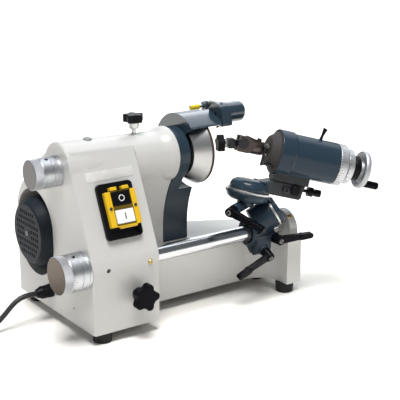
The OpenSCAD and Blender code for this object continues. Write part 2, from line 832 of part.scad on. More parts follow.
module cup_wheel() {
    small_r = 0.7 * wheel_r;
    wall = 5;
    hole = spindle_r + fit / 2;
    color("gainsboro") bench() on_x(wheel_x, spindle) rotate_extrude() polygon([[hole, 0],
        [small_r, 0], [wheel_r, cup_depth - 0.8], [wheel_r, cup_depth],
        [wheel_r - wall, cup_depth], [wheel_r - wall, cup_depth - 2.5],
        [small_r - 3, cup_back], [hole, cup_back]]);
}

module abrasive_rim() {
    color("#5a3a2c") bench() on_x(rim_x, spindle) ring(wheel_r, wheel_r - rim_w, rim_t);
}

module wheel_nut() {
    hole = spindle_r + fit / 2;
    color("dimgray") bench() on_x(wheel_x + cup_back, spindle) difference() {
        union() {
            cylinder(r = spindle_r + 7, h = 2);
            translate([0, 0, 1.9]) cylinder(r = spindle_r + 6, h = 5, $fn = 6);
        }
        translate([0, 0, -1]) cylinder(r = hole, h = 10);
    }
}

module motor_shaft() {
    color("silver") bench() on_x(12, motor) cylinder(r = shaft_r, h = pulley_x + pulley_w - 12);
}

module motor_pulley() {
    color("dimgray") bench() on_x(pulley_x, motor) ring(large_pulley_r, shaft_r + fit / 2, pulley_w);
}

module cooling_fan() {
    color("#333333") bench() on_x(14, motor) difference() {
        union() {
            cylinder(r = 12, h = 16);
            for (i = [0:7]) rotate(45 * i) translate([8, -1, 1]) cube([fan_cover_r - 20, 2, 14]);
        }
        translate([0, 0, -1]) cylinder(r = shaft_r + fit / 2, h = 20);
    }
}

module guide_bar() {
    color("lightsteelblue") bench() on_x(bar_x, bar) difference() {
        union() {
            cylinder(r1 = bar_r - 1, r2 = bar_r, h = 1);
            translate([0, 0, 1]) cylinder(r = bar_r, h = bar_end - bar_x - 1);
        }
        translate([0, 0, -1]) cylinder(r = screw_r + fit, h = 36);
    }
}

module carriage_bush() {
    color("tan") bench() on_x(carriage_x - 1.5, bar) ring(bush_r, bar_r + fit, carriage_l + 3);
}

// Clamp block round the bar, its split lug, and the inclined boss of the lower swivel
module carriage() {
    root = relief_at - boss_l * relief_axis;
    color("#3a4650") bench() difference() {
        union() {
            on_x(carriage_x, bar) cylinder(r = carriage_r, h = carriage_l);
            aim(root, relief_axis) cylinder(r = boss_r, h = boss_l);
            side_on(lug_x, lug_l) two_circles(bar, carriage_r - 1, lug, lug_r);
            aim(relief_lever_at - 14 * relief_lever_axis, relief_lever_axis) cylinder(r = 8, h = 14);
            aim(lug_lever, lug_axis) cylinder(r = 8.5, h = lug_r + 1);
        }
        on_x(carriage_x - 20, bar) cylinder(r = bush_r + fit, h = carriage_l + 40);
        aim(relief_at - 12 * relief_axis, relief_axis) cylinder(r = spigot_r + fit, h = 14);
        side_on(lug_x - 1, lug_l + 2) translate(lug) rotate(15) translate([-1, -20]) square([2, 40]);
        aim(lug_lever, lug_axis) translate([0, 0, 2]) cylinder(r = screw_r + fit, h = 30);
        aim(relief_lever_at - 10 * relief_lever_axis, relief_lever_axis) translate([0, 0, 2])
            cylinder(r = screw_r + fit, h = 30);
    }
}

module relief_scale_ring() {
    color("silver") bench() difference() {
        aim(relief_at, relief_axis) ring(boss_r + 1, spigot_r + 1, scale_t);
        on_x(carriage_x, bar) cylinder(r = bush_r + gap, h = 2 * carriage_l);
    }
}

// Cup of the upper swivel with the flange of the lower one
module elbow() {
    flange_at = relief_at + (scale_t + gap) * relief_axis;
    color("#46545f") bench() difference() {
        union() {
            tilted() rotate_extrude() polygon([[0, cup_z - 20], [11, cup_z - 20], [13, cup_z - 14],
                [dome_r - 4, cup_z - 11.5], [dome_r + 0.5, cup_z - 8.5], [dome_r + 4.5, cup_z - 1],
                [dome_r + 4, cup_z], [0, cup_z]]);
            aim(flange_at, relief_axis) cylinder(r = boss_r, h = 7);
            aim(flange_at, relief_axis) translate([-30, -12, 0]) cube([30, 24, 7]);
            aim(relief_at - 10 * relief_axis, relief_axis) cylinder(r = spigot_r, h = 15);
            aim(taper_lever_at - taper_boss_l * taper_lever_axis, taper_lever_axis) cylinder(r = 7.6,
                h = taper_boss_l);
        }
        aim(relief_at - boss_l * relief_axis, relief_axis) ring(boss_r + 1 + 2 * gap, spigot_r + 0.5,
            boss_l + scale_t + gap);
        tilted() translate([0, 0, cup_z]) cylinder(r = 60, h = 40);
        tilted() translate([0, 0, cup_z - 16]) cylinder(r = spigot_r + fit, h = 20);
        aim(taper_lever_at - 14 * taper_lever_axis, taper_lever_axis) cylinder(r = screw_r + fit, h = 20);
    }
}

module taper_scale_ring() {
    color("silver") bench() tilted() translate([0, 0, cup_z]) ring(dome_r + 2.5, spigot_r + 1, scale_t);
}

// Domed swivel plate with the bracket that carries the workhead on a dovetail rail
module swivel_arm() {
    color("#3a4650") bench() headed() difference() {
        union() {
            rotate_extrude() polygon([[0, dome_z], [dome_r, dome_z], [dome_r, dome_z + 5], [dome_r - 2.5,
                dome_z + 11],
                [dome_r - 9, dome_z + 15], [0, dome_z + 16.5]]);
            translate([0, 0, dome_z - 14]) cylinder(r = spigot_r, h = 16);
            rotate([90, 0, 0]) translate([0, 0, -bracket_v]) linear_extrude(2 * bracket_v)
                polygon([[10, dome_z + 1], [bracket_u - 4, dome_z + 1], [bracket_u, rail_z], [30,
                    rail_z], [10, dome_z + 15]]);
            translate([30, 0, 0]) rotate([90, 0, 90]) linear_extrude(bracket_u - 30)
                polygon([[-rail_w, rail_z - 1], [rail_w, rail_z - 1], [rail_w, rail_z],
                    [rail_w + rail_flare, rail_top],
                    [-rail_w - rail_flare, rail_top], [-rail_w, rail_z]]);
        }
        translate([clamp_u, 4 - bracket_v, clamp_z]) rotate([90, 0, 0]) translate([0, 0, -6])
            cylinder(r = stud_r + fit, h = 20);
        translate([bracket_u - 12, 0, stop_z]) rotate([0, 90, 0]) cylinder(r = 2.5 + fit, h = 20);
    }
}

module slide_clamp_knob() {
    color("#222222") bench() headed() translate([clamp_u, -bracket_v, clamp_z]) rotate([90, 0, 0]) {
        translate([0, 0, -9]) cylinder(r = stud_r, h = 10);
        translate([0, 0, gap]) cylinder(r = 7.5, h = 4.7);
        translate([0, 0, 4]) cylinder(r1 = 7, r2 = 5.5, h = 1.8);
    }
}

module stop_screw() {
    color("#222222") bench() headed() translate([bracket_u - 11, 0, stop_z]) rotate([0, 90, 0]) {
        cylinder(r = 2.5, h = 40);
        translate([0, 0, 21]) cylinder(r = 6.8, h = 8, $fn = 48);
        translate([0, 0, 32]) cylinder(r = 5.4, h = 9);
    }
}

module workhead_housing() {
    w = rail_w + gap;
    color("#33404b") bench() difference() {
        union() {
            turned([[0, nose_u], [19, nose_u], [21, nose_u + 1.5], [head_r - 4, nose_u + 12],
                [head_r - 0.8, nose_u + 12],
                [head_r, nose_u + 13], [head_r, nose_u + 34], [head_barrel_r, nose_u + 35.5],
                [head_barrel_r, work_end - 1], [head_barrel_r - 1, work_end], [0, work_end]]);
            headed() translate([30, -saddle_v, rail_z + gap]) cube([saddle_l, 2 * saddle_v, 20]);
        }
        headed() translate([nose_u - 1, 0, 0]) rotate([0, 90, 0]) cylinder(r = nose_r + fit, h = 20);
        headed() translate([nose_u + 7, 0, 0]) rotate([0, 90, 0]) cylinder(r = work_r + fit, h = work_l);
        headed() translate([29, 0, 0]) rotate([90, 0, 90]) linear_extrude(saddle_l + 2)
            polygon([[-w, rail_z - 1], [w, rail_z - 1], [w, rail_z], [w + rail_flare, rail_top + gap],
                [-w - rail_flare, rail_top + gap], [-w, rail_z]]);
        headed() translate([lever_u - 6, -notch_v, notch_floor]) cube([15, 2 * notch_v, 30]);
        headed() translate([lever_u, 8, notch_floor + 4]) rotate([90, 0, 0]) cylinder(r = 1.5 + fit,
            h = 16);
        headed() translate([nose_u, rest_at[1], rest_at[2]]) rotate([0, 90, 0]) cylinder(r = 1.8 + fit,
            h = 10);
    }
}

// Bent finger that supports a cutter's tooth
module tooth_rest() {
    color("#2b2b2b") bench() headed() {
        translate(rest_at - [1.8, 0, 0]) rotate([0, 90, 0]) cylinder(r = 1.8, h = nose_u + 9 - rest_at[0]);
        translate(rest_at - [0, 0, 3]) cylinder(r = 1.8, h = 26);
    }
}

module index_lever() {
    color("#1a1a1a") bench() headed() translate([lever_u, 0, notch_floor + 4]) {
        rotate([90, 0, 0]) cylinder(r = 1.5, h = 15, center = true);
        rotate([90, 0, 0]) cylinder(r = 3.4, h = 2 * notch_v - 2 * gap, center = true);
        rotate([0, 12, 0]) cylinder(r1 = 2.6, r2 = 2, h = 15);
        rotate([0, 12, 0]) translate([0, 0, 14]) cylinder(r1 = 2.2, r2 = 3.6, h = 9);
    }
}

module work_spindle() {
    color("silver") bench() turned([[collet_r + fit, nose_u - 1], [nose_r, nose_u - 1], [nose_r,
        nose_u + 7 + gap],
        [work_r, nose_u + 7 + gap],
        [work_r, ring_u + 38], [8, ring_u + 38], [8, ring_u + 52], [0, ring_u + 52], [0, 60],
            [collet_r + fit, 60]]);
}

module index_ring_large() {
    r = index_large_r;
    hole = work_r + fit / 2;
    color("#e8e8e4") bench() turned([[hole, ring_u], [r - 1, ring_u], [r, ring_u + 1], [r, ring_u + 12],
        [r - 1.2, ring_u + 13], [hole, ring_u + 13]]);
}

module index_ring_small() {
    r = index_small_r;
    hole = work_r + fit / 2;
    color("#e8e8e4") bench() turned([[hole, ring_u + 13], [r - 3, ring_u + 13], [r - 3, ring_u + 16], [r,
        ring_u + 16],
        [r, ring_u + 24], [r - 1, ring_u + 25], [hole, ring_u + 25]]);
}

module spindle_collar() {
    hole = work_r + fit / 2;
    color("#222222") bench() turned([[hole, ring_u + 25], [work_r + 2, ring_u + 25], [work_r + 2,
        ring_u + 29],
        [work_r + 1, ring_u + 30], [work_r + 2, ring_u + 31], [work_r + 2, ring_u + 38], [hole,
            ring_u + 38]]);
}

// Dished handwheel with its crank pin
module handwheel() {
    r = handwheel_r;
    u = ring_u + 41;
    hole = 8 + fit / 2;
    color("#d9d9d6") bench() {
        turned([[hole, u], [12, u], [13, u + 4], [r - 7, u + 4], [r - 4, u + 0.5], [r - 1, u + 0.5], [r,
            u + 3],
            [r, u + 6], [r - 1, u + 8.5], [r - 4, u + 8.5], [r - 7, u + 8], [13, u + 8.5], [12, u + 10],
                [hole, u + 10]]);
        headed() translate([u + 5, 0, -crank_r]) rotate([0, 90, 0]) cylinder(r = 3, h = 32);
    }
}

module crank_grip() {
    u = ring_u + 41 + 9;
    color("#111111") bench() headed() translate([u + gap, 0, -crank_r]) rotate([0, 90, 0]) difference() {
        union() {
            cylinder(r1 = 4.6, r2 = 5.4, h = 3);
            translate([0, 0, 3]) cylinder(r = 5.6, h = 22);
            translate([0, 0, 25]) cylinder(r1 = 5.6, r2 = 4.4, h = 2);
        }
        translate([0, 0, -1]) cylinder(r = 3 + fit, h = 40);
    }
}

// Holder for a turning tool: shank, slotted block and the fork of its swivel
module tool_holder() {
    color("#5d5550") bench() headed() difference() {
        union() {
            rotate([0, 90, 0]) cylinder(r = collet_r, h = 42);
            translate([5, 0, 0]) rotate([0, 90, 0]) cylinder(r = sleeve_r + 1.7, h = 1.4);
            translate([-16, 0, 0]) rotate([0, 90, 0]) cylinder(r = sleeve_r, h = 17.5);
            rotate([90, 0, 0]) translate([0, 0, -holder_v]) linear_extrude(2 * holder_v)
                polygon([[-32, holder_low], [-17, holder_low], [-11, -6], [-5, 6], [-20, holder_top],
                    [-32, holder_top]]);
        }
        translate([-40, -fork_v - gap, -20]) cube([19, 2 * fork_v + 2 * gap, 40]);
        translate([pivot_u, 20, pivot_z]) rotate([90, 0, 0]) cylinder(r = 3 + fit, h = 40);
        translate([-18, -2.5, 2]) cube([9, 5, 20]);
    }
}

// Stands on the tool clevis's pivot, tipped as the clevis rests
module about_pivot() {
    translate([pivot_u, 0, pivot_z]) rotate([0, -clevis_tilt, 0]) children();
}

module tool_clevis() {
    color("#33322f") bench() headed() difference() {
        union() {
            translate([pivot_u, holder_v + 2, pivot_z]) rotate([90, 0, 0]) cylinder(r = 3,
                h = 2 * holder_v + 4);
            translate([pivot_u, -holder_v - gap, pivot_z]) rotate([90, 0, 0]) cylinder(r = 8, h = 2.4);
            about_pivot() rotate([90, 0, 0]) translate([0, 0, -fork_v]) linear_extrude(2 * fork_v) {
                circle(5);
                translate([-14, -4.5]) square([14, 9]);
            }
            about_pivot() translate([-20, -8, -7]) cube([9, 16, 14]);
        }
        about_pivot() translate([-23, 0, 0]) rotate([0, 90, 0]) cylinder(r = stud_r + fit, h = 10);
    }
}

module tool_star_knob() {
    color("#151515") bench() headed() about_pivot() translate([knob_u, 0, 0]) rotate([0, -90, 0])
        star_knob(12.5, 10, 6, 4, stud_r, 8);
}

module barrel_clamp_knob() {
    foot = 262 - spindle_z;
    color("#151515") bench() translate([top_knob_x, spindle_y, spindle_z + foot]) star_knob(top_knob_r,
        11, 7, 9, stud_r, 18);
}

module bar_clamp_knob() {
    color("#151515") bench() on_front([front_knob_at[0], -gap, front_knob_at[1]]) star_knob(front_knob_r,
        13, 9, 12, screw_r, 11);
}

module carriage_lever() {
    arm = [-0.914, 0.175, -0.366];
    color("#1b1d20") bench() seat_lever(lug_lever + (lug_r + 1 + gap) * unit(lug_axis), lug_axis, arm, 8);
}

module relief_lever() {
    color("#1b1d20") bench() seat_lever(relief_lever_at + gap * relief_lever_axis, relief_lever_axis, [1,
        0, 0], 7);
}

module taper_lever() {
    arm = [0.42, -0.86, -0.29];
    color("#1b1d20") bench() seat_lever(taper_lever_at + gap * taper_lever_axis, taper_lever_axis, arm, 11);
}

// Swinging arm with its domed cap, which carries the dressing diamond's rod
module dresser_arm() {
    pivot = [dresser_y, dresser_z];
    color("#46545f") bench() difference() {
        union() {
            on_x(arm_x, pivot) rotate_extrude() polygon([[0, 0], [dresser_r - 1, 0], [dresser_r - 1, 24],
                [dresser_r - 3, 27.5],
                [dresser_r - 7, 29], [0, 29]]);
            on_x(boss_end - 11, pivot) cylinder(r = 5, h = 14);
            side_on(rod_holder_x + 3, 9) two_circles(pivot, 11, rod_at, 7);
            on_x(rod_holder_x, rod_at) cylinder(r = 7, h = 16);
        }
        on_x(rod_holder_x - 1, rod_at) cylinder(r = rod_r + fit / 2, h = 18);
    }
}

module diamond_rod() {
    color("silver") bench() on_x(rod_holder_x - 21, rod_at) cylinder(r = rod_r, h = 38);
}

module tip_cap() {
    color("yellow") bench() on_x(rod_holder_x - 23, rod_at) difference() {
        cylinder(r1 = 3.6, r2 = 4.3, h = 15);
        translate([0, 0, 2]) cylinder(r = rod_r + fit / 2, h = 20);
    }
}

machine_frame();
rubber_feet();
belt_cover();
wheel_hood();
motor_housing();
fan_cover();
drive_belt();
oil_cups();
switch_plate();
switch_frame();
cable_gland();
power_cord();
cord_coil();
coil_tie();
mains_plug();
upper_dial_sleeve();
lower_dial_sleeve();
spindle_quill();
spindle_bearings();
grinding_spindle();
spindle_pulley();
cup_wheel();
abrasive_rim();
wheel_nut();
motor_shaft();
motor_pulley();
cooling_fan();
upper_dial();
lower_dial();
guide_bar();
carriage_bush();
carriage();
relief_scale_ring();
elbow();
taper_scale_ring();
swivel_arm();
slide_clamp_knob();
stop_screw();
workhead_housing();
tooth_rest();
index_lever();
work_spindle();
index_ring_large();
index_ring_small();
spindle_collar();
handwheel();
crank_grip();
tool_holder();
tool_clevis();
tool_star_knob();
barrel_clamp_knob();
bar_clamp_knob();
stop_button();
start_button();
carriage_lever();
relief_lever();
taper_lever();
dresser_arm();
diamond_rod();
tip_cap();
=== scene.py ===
"""Dresses the bench tool and cutter grinder: rounded castings, painted, turned and moulded finishes,
scales, screws, the mains lead and a plain studio stage. Metres, in the CAD frame."""

import json
import math

import bpy
from mathutils import Matrix, Vector


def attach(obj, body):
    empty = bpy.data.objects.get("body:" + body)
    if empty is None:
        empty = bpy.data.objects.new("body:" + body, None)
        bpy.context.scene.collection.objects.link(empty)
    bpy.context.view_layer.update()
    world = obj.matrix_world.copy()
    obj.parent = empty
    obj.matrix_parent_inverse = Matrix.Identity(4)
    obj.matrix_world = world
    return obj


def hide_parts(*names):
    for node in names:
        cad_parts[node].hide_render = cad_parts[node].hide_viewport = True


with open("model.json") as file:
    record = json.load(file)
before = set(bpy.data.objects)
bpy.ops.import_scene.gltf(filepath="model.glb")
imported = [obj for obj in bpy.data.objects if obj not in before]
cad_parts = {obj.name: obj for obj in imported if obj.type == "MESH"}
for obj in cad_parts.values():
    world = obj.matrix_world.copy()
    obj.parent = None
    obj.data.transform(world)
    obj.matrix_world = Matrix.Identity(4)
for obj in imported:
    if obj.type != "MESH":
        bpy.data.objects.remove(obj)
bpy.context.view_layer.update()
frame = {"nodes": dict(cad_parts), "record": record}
NODES = frame["nodes"]
BODY_OF = {node: body for body, nodes in frame["record"]["behaviour"]["bodies"].items() for node in nodes}
SLOT_OF = {part["node"]: part["material_slot"] for part in frame["record"]["subparts"]}

bl_info = {
    "name": "Tool grinder dressing",
    "version": (1, 0, 0),
    "blender": (4, 5, 0),
    "location": "3D View > Sidebar > Grinder",
    "description": "Finishes, fittings and stage for the bench tool and cutter grinder",
    "category": "Object",
}

MM = 0.001
ORIGIN = Vector((177, 15, 0))


def spot(x, y, z):
    """A place measured in mm from the headstock's left face, front face and the bench."""
    return (Vector((x, y, z)) - ORIGIN) * MM


# Axes of the machine's turned parts. The taper swivel leans by TILT, the workhead is turned on it by TURN,
# the relief swivel rises by RISE, and the tool's clevis dips by TOOL_TILT
TILT = math.radians(16)
TURN = math.radians(22)
RISE = math.radians(30)
ALONG = Vector((1, 0, 0))
UP = Vector((0, 0, 1))
SLOPE = Vector((math.cos(TILT), 0, -math.sin(TILT)))
SWIVEL = Vector((math.sin(TILT), 0, math.cos(TILT)))
WORK = SLOPE * math.cos(TURN) + Vector((0, -math.sin(TURN), 0))
ACROSS = SLOPE * math.sin(TURN) + Vector((0, math.cos(TURN), 0))
TOOL_TILT = math.radians(14)
TOOL = -WORK * math.cos(TOOL_TILT) - SWIVEL * math.sin(TOOL_TILT)
RELIEF = Vector((math.cos(RISE) * math.cos(TURN), -math.cos(RISE) * math.sin(TURN), math.sin(RISE)))
CROSSING = spot(288, 25, 223.5)
RELIEF_AT = spot(305, 14.4, 127.5)
SPINDLE = spot(0, 88, 220)
BAR = spot(0, 25, 100)
MOTOR = spot(0, 160, 117)
PANEL_LEAN = math.radians(66.3)
PANEL_UP = Vector((0, math.cos(PANEL_LEAN), math.sin(PANEL_LEAN)))
PANEL_OUT = Vector((0, -math.sin(PANEL_LEAN), math.cos(PANEL_LEAN)))


def head_spot(u, v, w):
    """A place on the workhead: along its axis, across it, and up its swivel."""
    return CROSSING + (WORK * u + ACROSS * v + SWIVEL * w) * MM


def panel_spot(x, up, out):
    """A place on the leaning front panel."""
    return spot(x, 0, 108) + (PANEL_UP * up + PANEL_OUT * out) * MM


# Places and sizes that finishes and fittings share; the switch is in mm on its panel
TOOL_PIVOT = head_spot(-27, 0, 2)
DIAMOND = spot(0, 130, 269)
UPPER_DIAL_RADIUS = 0.0205
LOWER_DIAL_RADIUS = 0.0255
SWITCH_X = 57.5
SWITCH_UP = 71
BUTTON_STEP = 12


class GrinderColours(bpy.types.PropertyGroup):
    """Paint and plastic colours."""

    casting: bpy.props.FloatVectorProperty(
        name="Casting", description="Enamel of the cast frame", subtype="COLOR", size=3, min=0, max=1,
        default=(0.535, 0.528, 0.508))
    slate: bpy.props.FloatVectorProperty(
        name="Slate", description="Enamel of covers, hood and workhead", subtype="COLOR", size=3,
        min=0, max=1, default=(0.0205, 0.0365, 0.0535))
    yellow: bpy.props.FloatVectorProperty(
        name="Switch", description="Frame of the switch", subtype="COLOR", size=3, min=0, max=1,
        default=(0.70, 0.43, 0.012))
    lemon: bpy.props.FloatVectorProperty(
        name="Tip", description="Cap of the dressing diamond", subtype="COLOR", size=3, min=0, max=1,
        default=(0.66, 0.52, 0.02))


class GrinderSizes(bpy.types.PropertyGroup):
    """Sizes of the edges and the lead."""

    cast_edge: bpy.props.FloatProperty(
        name="Casting edge", description="Radius of the casting's edges", default=0.0045,
        min=0.0005, max=0.006, subtype="DISTANCE", unit="LENGTH")
    lead: bpy.props.FloatProperty(
        name="Lead", description="Diameter of the mains lead", default=0.007, min=0.005, max=0.009,
        subtype="DISTANCE", unit="LENGTH")


def colours():
    """The colours that the panel sets."""
    return bpy.context.scene.grinder_colours


def sizes():
    """The sizes that the panel sets."""
    return bpy.context.scene.grinder_sizes


class Wire:
    """A number in a shader. Arithmetic on it adds Math nodes."""

    def __init__(self, finish, socket):
        self.finish = finish
        self.socket = socket

    def _math(self, operation, *values):
        return self.finish.add("ShaderNodeMath", {"operation": operation}, *values)

    def __add__(self, other):
        return self._math("ADD", self, other)

    __radd__ = __add__

    def __sub__(self, other):
        return self._math("SUBTRACT", self, other)

    def __rsub__(self, other):
        return self._math("SUBTRACT", other, self)

    def __mul__(self, other):
        return self._math("MULTIPLY", self, other)

    __rmul__ = __mul__

    def __truediv__(self, other):
        return self._math("DIVIDE", self, other)

    def __lt__(self, other):
        return self._math("LESS_THAN", self, other)

    def __gt__(self, other):
        return self._math("GREATER_THAN", self, other)

    def sine(self):
        return self._math("SINE", self)

    def fraction(self):
        return self._math("FRACT", self)

    def size(self):
        return self._math("ABSOLUTE", self)

    def at_least(self, other):
        return self._math("MAXIMUM", self, other)

    def power(self, other):
        return self._math("POWER", self, other)


FINISHES = {}


class Finish:
    """One material: a Principled shader on Object coordinates."""

    def __init__(self, name, colour, roughness, metallic=0.0, coat=0.0, coat_roughness=0.1, specular=0.5):
        self.material = bpy.data.materials.new(name)
        self.material.use_nodes = True
        self.tree = self.material.node_tree
        self.tree.nodes.clear()
        output = self.tree.nodes.new("ShaderNodeOutputMaterial")
        self.shader = self.tree.nodes.new("ShaderNodeBsdfPrincipled")
        self.tree.links.new(self.shader.outputs["BSDF"], output.inputs["Surface"])
        self.set("Base Color", colour)
        self.set("Roughness", roughness)
        self.set("Metallic", metallic)
        self.set("Coat Weight", coat)
        self.set("Coat Roughness", coat_roughness)
        self.set("Specular IOR Level", specular)
        self.place = self.add("ShaderNodeTexCoord", {}, output="Object")
        self.relief = None
        FINISHES[name] = self.material

    def set(self, socket, value):
        """Sets one of the shader's own sockets."""
        self.plug(self.shader.inputs[socket], value)

    def plug(self, socket, value):
        """Links a wire to a socket, or sets a plain value. A colour gets its alpha."""
        if isinstance(value, Wire):
            self.tree.links.new(value.socket, socket)
        elif socket.type == "RGBA":
            socket.default_value = (*value, 1)
        else:
            socket.default_value = value

    def add(self, kind, settings, *values, output=None, **named):
        """Adds a node. Values fill its first sockets in order, named ones go by a socket's identifier."""
        node = self.tree.nodes.new(kind)
        for key, value in settings.items():
            setattr(node, key, value)
        for socket, value in zip(node.inputs, values):
            self.plug(socket, value)
        for key, value in named.items():
            self.plug(next(socket for socket in node.inputs if socket.identifier == key), value)
        if output is None:
            return Wire(self, node.outputs[0])
        return Wire(self, next(socket for socket in node.outputs if socket.identifier == output))

    def noise(self, scale, detail=2.0, rough=0.5, stretch=None):
        """Soft random pattern, from 0 to 1."""
        place = self.place
        if stretch:
            place = self.add("ShaderNodeVectorMath", {"operation": "MULTIPLY"}, place, Vector(stretch))
        return self.add("ShaderNodeTexNoise", {}, Vector=place, Scale=scale, Detail=detail, Roughness=rough)

    def pits(self, scale):
        """Distance to the nearest of many scattered grains."""
        return self.add("ShaderNodeTexVoronoi", {}, Vector=self.place, Scale=scale)

    def mix(self, factor, first, second):
        """Blend of two colours."""
        settings = {"data_type": "RGBA"}
        return self.add("ShaderNodeMix", settings, output="Result_Color",
                        Factor_Float=factor, A_Color=first, B_Color=second)

    def away(self, origin):
        """Vector from an origin to the point on the surface."""
        return self.add("ShaderNodeVectorMath", {"operation": "SUBTRACT"}, self.place, Vector(origin))

    def dot(self, vector, axis):
        """Length of a vector along an axis."""
        return self.add("ShaderNodeVectorMath", {"operation": "DOT_PRODUCT"}, vector, axis, output="Value")

    def polar(self, origin, axis):
        """Distance along an axis, distance from it, and turn about it, of a point on the surface."""
        axis = Vector(axis).normalized()
        zero = axis.orthogonal()
        zero = (zero - axis * zero.dot(axis)).normalized()
        side = axis.cross(zero)
        offset = self.away(origin)
        along = self.dot(offset, axis)
        first = self.dot(offset, zero)
        second = self.dot(offset, side)
        radius = (first * first + second * second).power(0.5)
        turn = self.add("ShaderNodeMath", {"operation": "ARCTAN2"}, second, first)
        return along, radius, turn

    def bump(self, height, distance):
        """Adds a height, in metres of distance per unit, on top of the earlier ones."""
        under = {"Normal": self.relief} if self.relief else {}
        self.relief = self.add("ShaderNodeBump", {}, Strength=1.0, Distance=distance, Height=height, **under)
        self.set("Normal", self.relief)


def shade(colour, factor):
    """A colour made darker or lighter."""
    return tuple(min(1.0, c * factor) for c in colour)


def enamel(name, colour, roughness, peel=0.00003, coat=0.35, specular=0.5):
    """Sprayed enamel on a casting: faint orange peel, uneven gloss and handling marks."""
    f = Finish(name, colour, roughness, coat=coat, coat_roughness=0.12, specular=specular)
    cloud = f.noise(9, 3)
    smear = f.noise(38, 4, 0.6, stretch=(1, 1, 0.35))
    tint = f.mix(cloud, shade(colour, 0.94), shade(colour, 1.04))
    f.set("Base Color", f.mix((smear - 0.62).at_least(0) * 1.2, tint, shade(colour, 0.8)))
    f.set("Roughness", roughness - 0.06 + smear * 0.12)
    f.bump(f.noise(900, 2), peel)
    f.bump(f.noise(70, 2), peel * 4)
    return f


def moulded(name, colour, roughness, grain=0.00003, specular=0.5):
    """Moulded plastic with a fine spark grain and rubbed patches."""
    f = Finish(name, colour, roughness, specular=specular)
    rub = f.noise(45, 3)
    f.set("Base Color", f.mix(rub, shade(colour, 0.85), shade(colour, 1.25)))
    f.set("Roughness", roughness - 0.08 + rub * 0.16)
    f.bump(f.noise(2400, 2), grain)
    return f


def metal_end(f, where, plastic, metal):
    """Turns part of a moulded finish into bare metal."""
    f.set("Base Color", f.mix(where, plastic, metal))
    f.set("Metallic", where)


def turned(name, colour, roughness, origin, axis, pitch=0.0005, depth=0.000006, faces=True):
    """Lathe-turned metal: fine rings round its axis, with uneven polish."""
    f = Finish(name, colour, roughness, metallic=1.0)
    along, radius, turn = f.polar(origin, axis)
    line = (along + radius * 0.83) if faces else along
    fine = f.add("ShaderNodeTexNoise", {"noise_dimensions": "1D"}, W=line / pitch, Scale=1.0, Detail=3.0)
    broad = f.noise(30, 3)
    f.set("Base Color", f.mix(fine, shade(colour, 0.78), shade(colour, 1.12)))
    f.set("Roughness", roughness - 0.09 + fine * 0.14 + broad * 0.05)
    f.bump(fine, depth * 4)
    return f, along, radius, turn


def scale_marks(f, along, turn, start, end, count, colour, base, major=5, width=0.16):
    """Engraved graduations round a ring: fine lines, longer and bolder ones between."""
    length = end - start
    step = turn * (count / math.tau) + count
    offset = ((step + 0.5).fraction() - 0.5).size()
    bold = (((step / major) + 0.5).fraction() - 0.5).size() < (0.5 / major)
    reach = bold * (length * 0.3) + length * 0.45
    band = (along > start) * ((along - start) < reach)
    mark = band * (offset < width)
    f.set("Base Color", f.mix(mark, base, colour))
    return mark


# Where a finish changes on one piece, in metres
NOSE_END = 0.0255
HEAD_RADIUS = 0.0333
DOME_RADIUS = 0.0292
# POCKET_HALF is the half width and height of the painted shade in the switch frame's pocket
POCKET_HALF = (0.0148, 0.0236)
STUD_TOP = spot(0, 0, 270).z
HUB_END = 0.0253
PIN_LENGTH = 0.0178
DIAL_FACE = -0.038
DIAL_RIM = 0.0008
DIAL_GRIP = -0.0285
DIAL_SCALE = -0.027
DIAL_MARKS = 0.007
KNURLS = 84
KNURL_SLANT = 2400
KNURL_BAND = 0.0015
KNURL_HEIGHT = 0.00035
LARGE_RING = (0.1174, 0.1254)
SMALL_RING = (0.1325, 0.1385)
TAPER_SCALE = -0.0654
SWIVEL_MARKS = 0.0029

# Colours that several finishes share
PLATE_GREY = (0.032, 0.033, 0.036)
NOSE_GREY = (0.050, 0.046, 0.045)
KNOB_BLACK = (0.003, 0.0032, 0.0048)
CORD_BLACK = (0.011, 0.011, 0.012)
DIAL_SILVER = (0.60, 0.615, 0.64)
RING_SILVER = (0.56, 0.57, 0.59)
RING_INK = (0.12, 0.12, 0.12)


def make_paints():
    """Enamel of the castings; the workhead's nose is bare, its block and the bracket's plate are dark."""
    c = colours()
    slate = tuple(c.slate)
    enamel("cream_paint", tuple(c.casting), 0.34)
    enamel("slate_paint", slate, 0.24, peel=0.00004, coat=0.06, specular=0.24)
    enamel("hood_paint", slate, 0.2, peel=0.00003, coat=1.0)
    enamel("grey_paint", shade(slate, 0.8), 0.36, peel=0.00006, coat=0.0, specular=0.25)
    f = enamel("workhead_paint", slate, 0.24, peel=0.00004, coat=0.06, specular=0.2)
    along, radius, turn = f.polar(CROSSING, WORK)
    bare = (along < NOSE_END) * (radius < HEAD_RADIUS)
    block = radius > HEAD_RADIUS
    f.set("Base Color", f.mix(bare, f.mix(block, slate, PLATE_GREY), NOSE_GREY))
    f.set("Roughness", 0.26 + bare * 0.4 + block * 0.2)
    f.set("Coat Weight", 0.06 - bare * 0.06)
    f = enamel("bracket_paint", slate, 0.24, peel=0.00004, coat=0.06, specular=0.24)
    along, radius, turn = f.polar(CROSSING, SWIVEL)
    plate = radius > DOME_RADIUS
    f.set("Base Color", f.mix(plate, slate, PLATE_GREY))
    f.set("Roughness", 0.24 + plate * 0.22)


